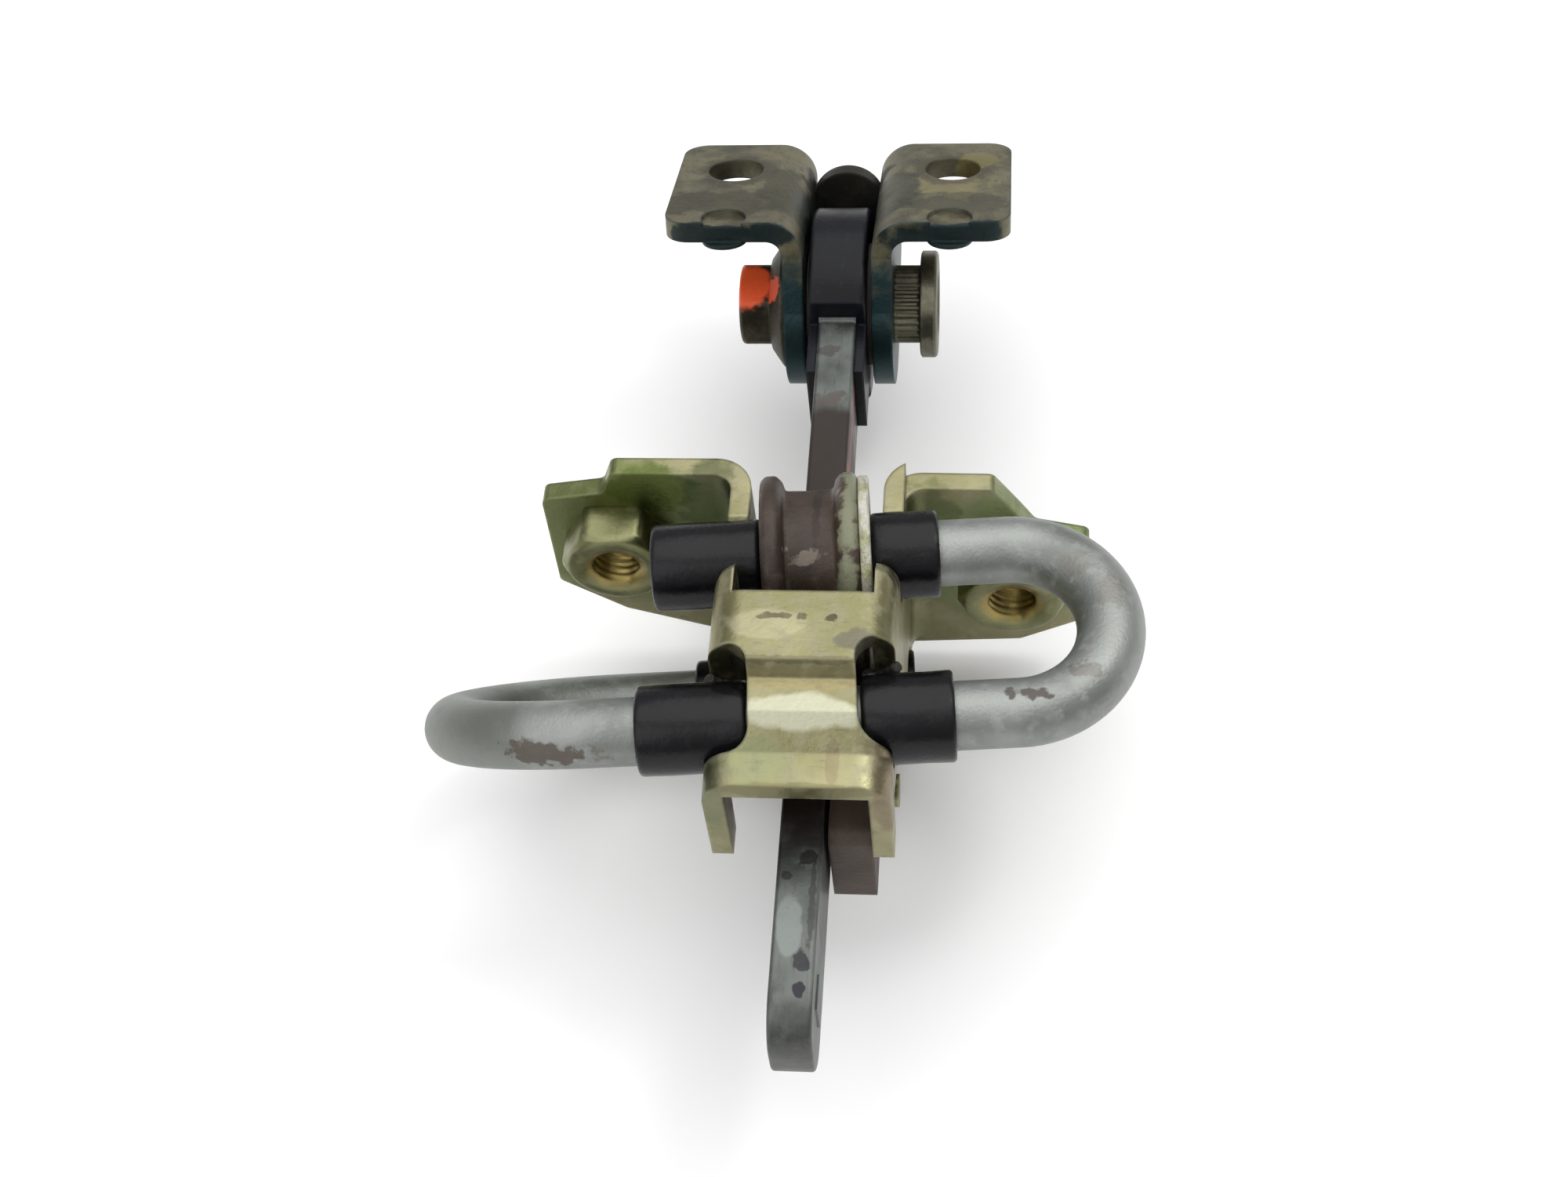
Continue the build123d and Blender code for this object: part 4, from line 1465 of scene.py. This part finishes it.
@dataclass
class Holder:
    """The pressed holder with its weld nuts and side guide. Sizes are in millimetres."""

    nut_flats: float = 15.0
    nut_height: float = 6.5
    thread_minor: float = 3.45
    thread_major: float = 4.0
    pitch: float = 1.25
    pilot: float = 5.4
    sheet: float = 3.0

    def build(self) -> None:
        """Dresses the holder and makes its nuts."""
        dress("holder_bracket", HOLDER_ZINC)
        dress("guide_block", GUIDE_POLYMER)
        dress("guide_rivet", NUT_ZINC)
        for hand in ("left", "right"):
            self.nut(hand)
        log.info("holder: bracket, nuts and side guide")

    def nut(self, hand: str) -> None:
        """Makes one threaded nut in place of its CAD node.

        Args:
            hand: left or right.
        """
        node = f"door_nut_{hand}"
        centre = middle(node)
        spindle = Spindle(Vector((centre.x, 0, centre.z)), Vector((0, -1, 0)))
        top = self.nut_height
        steps = 96
        half = self.nut_flats / 2

        def hexagon(turn: float, blend: float) -> float:
            """Returns a radius between the hexagon and its inner circle."""
            local = (turn + math.radians(30)) % (math.pi / 3) - math.pi / 6
            flat = min(half / math.cos(local), half / math.cos(math.pi / 6) - 0.35)
            return flat * (1 - blend) + half * blend

        outer = [
            (-self.sheet + 0.4, lambda t: self.pilot - 0.25),
            (-self.sheet + 0.6, lambda t: self.pilot - 0.05),
            (0.0, lambda t: self.pilot - 0.05),
            (0.0, lambda t: hexagon(t, 0.0)),
            (top - 1.3, lambda t: hexagon(t, 0.0)),
            (top - 0.6, lambda t: hexagon(t, 0.55)),
            (top - 0.15, lambda t: half - 0.15),
            (top, lambda t: half - 0.6),
            (top, lambda t: self.thread_major + 1.35),
            (top - 0.25, lambda t: self.thread_major + 0.85),
        ]
        verts: list = []
        for distance, radius_at in outer:
            for step in range(steps):
                turn = 2 * math.pi * step / steps
                verts.append(spindle.at(distance * MM, radius_at(turn) * MM, turn))
        faces: list = []
        rows = len(outer)
        low = -self.sheet + 0.4
        bottom_rows = 44
        for row in range(bottom_rows + 1):
            t = row / bottom_rows
            for step in range(steps):
                turn = 2 * math.pi * step / steps
                distance = (top - 0.75) * (1 - t) + low * t
                phase = (distance / self.pitch - turn / (2 * math.pi)) % 1.0
                ridge = 1 - abs(2 * phase - 1)
                deep = self.thread_major - (self.thread_major - self.thread_minor) * min(1, 1.35 * ridge)
                verts.append(spindle.at(distance * MM, deep * MM, turn))
        rows += bottom_rows + 1
        for row in range(rows):
            nxt_row = (row + 1) % rows
            for step in range(steps):
                nxt = (step + 1) % steps
                faces.append(quad(row, nxt_row, steps, step, nxt))
        made = piece(f"{node}_threaded", verts, faces, NUT_ZINC, 30.0)
        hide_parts(node)
        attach(made, "holder")


@dataclass
class Studio:
    """Floor, light and camera. Distances are in metres."""

    floor_size: float = 6.0
    floor_gap: float = 0.0004
    lens: float = 50.4
    camera_from_left_nut: tuple = (0.0587, -0.1954, 0.2696)
    azimuth: float = 10.0
    elevation: float = 55.0
    roll: float = 7.5

    def build(self) -> None:
        """Makes the floor, the lights, the sky and the camera."""
        self.floor()
        self.sky()
        self.lamp("key", (0.2, 0.3, 1.2), 1.6, 11.0)
        self.lamp("fill", (-0.6, -0.8, 0.9), 1.2, 5.0)
        self.lamp("glint", (0.35, 0.1, 0.6), 0.12, 0.5)
        self.camera()
        scene = bpy.context.scene
        scene.view_settings.view_transform = "Standard"
        log.info("studio: floor, lights and camera")

    def floor(self) -> None:
        """Makes the pale floor under the part."""
        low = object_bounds()[0][2] - self.floor_gap
        half = self.floor_size / 2
        mesh = bpy.data.meshes.new("floor")
        corners = [(-half, -half, low), (half, -half, low), (half, half, low), (-half, half, low)]
        mesh.from_pydata(corners, [], [(0, 1, 2, 3)])
        made = bpy.data.objects.new("floor", mesh)
        bpy.context.scene.collection.objects.link(made)
        paint = bpy.data.materials.new("floor_paper")
        paint.use_nodes = True
        shader = paint.node_tree.nodes["Principled BSDF"]
        shader.inputs["Base Color"].default_value = (0.97, 0.97, 0.97, 1)
        shader.inputs["Roughness"].default_value = 0.9
        shader.inputs["Specular IOR Level"].default_value = 0.1
        made.data.materials.append(paint)
        made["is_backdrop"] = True

    def sky(self) -> None:
        """Makes a soft overcast surround, bright above and dim at the sides."""
        world = bpy.data.worlds.new("soft_room")
        bpy.context.scene.world = world
        world.use_nodes = True
        world.node_tree.nodes.clear()
        g = Graph(world.node_tree)
        way = g.node("ShaderNodeTexCoord").outputs["Generated"]
        height = g.node("ShaderNodeSeparateXYZ", {0: way}).outputs["Z"]
        ramp = g.node("ShaderNodeValToRGB", {0: height})
        ramp.color_ramp.elements[0].color = (0.42, 0.42, 0.43, 1)
        ramp.color_ramp.elements[1].color = (1.0, 1.0, 1.0, 1)
        ramp.color_ramp.elements[0].position = 0.1
        light = g.node("ShaderNodeBackground", {"Color": ramp.outputs[0], "Strength": 0.8})
        g.node("ShaderNodeOutputWorld", {"Surface": light.outputs[0]})

    def lamp(self, name: str, place: tuple, size: float, power: float) -> None:
        """Makes one soft area lamp aimed at the part.

        Args:
            name: the lamp's name.
            place: where it stands.
            size: the side of its square.
            power: its power in watts.
        """
        data = bpy.data.lights.new(name, "AREA")
        data.energy = power
        data.size = size
        made = bpy.data.objects.new(name, data)
        bpy.context.scene.collection.objects.link(made)
        made.location = place
        target = Vector((0.03, -0.01, 0.0))
        made.rotation_euler = (target - made.location).to_track_quat("-Z", "Y").to_euler()

    def camera(self) -> None:
        """Makes the camera."""
        turn, rise, tip = map(math.radians, (self.azimuth, self.elevation, self.roll))
        ahead = Vector((-math.sin(turn) * math.cos(rise), math.cos(turn) * math.cos(rise), -math.sin(rise)))
        right = Vector((math.cos(turn), math.sin(turn), 0))
        up = right.cross(ahead)
        image_right = right * math.cos(tip) - up * math.sin(tip)
        image_up = up * math.cos(tip) + right * math.sin(tip)
        data = bpy.data.cameras.new("camera")
        data.lens = self.lens
        data.sensor_width = 36.0
        data.clip_start = 0.01
        made = bpy.data.objects.new("camera", data)
        bpy.context.scene.collection.objects.link(made)
        basis = Matrix((image_right, image_up, -ahead)).transposed()
        place = middle("door_nut_left")
        origin = Vector((place.x, 0.0, place.z)) + Vector(self.camera_from_left_nut)
        made.matrix_world = Matrix.Translation(origin) @ basis.to_4x4()
        bpy.context.scene.camera = made


def main() -> None:
    """Builds every assembly in order and reports each one."""
    logging.basicConfig(level=logging.INFO, format="%(message)s")
    Clevis().build()
    Arm().build()
    Roller("front").build()
    Roller("rear").build()
    Rod().build()
    Holder().build()
    Studio().build()
    for made in bpy.data.objects:
        if made.type == "MESH" and not made.hide_render:
            log.info("piece %s: %d faces", made.name, len(made.data.polygons))


if __name__ == "__main__":
    main()
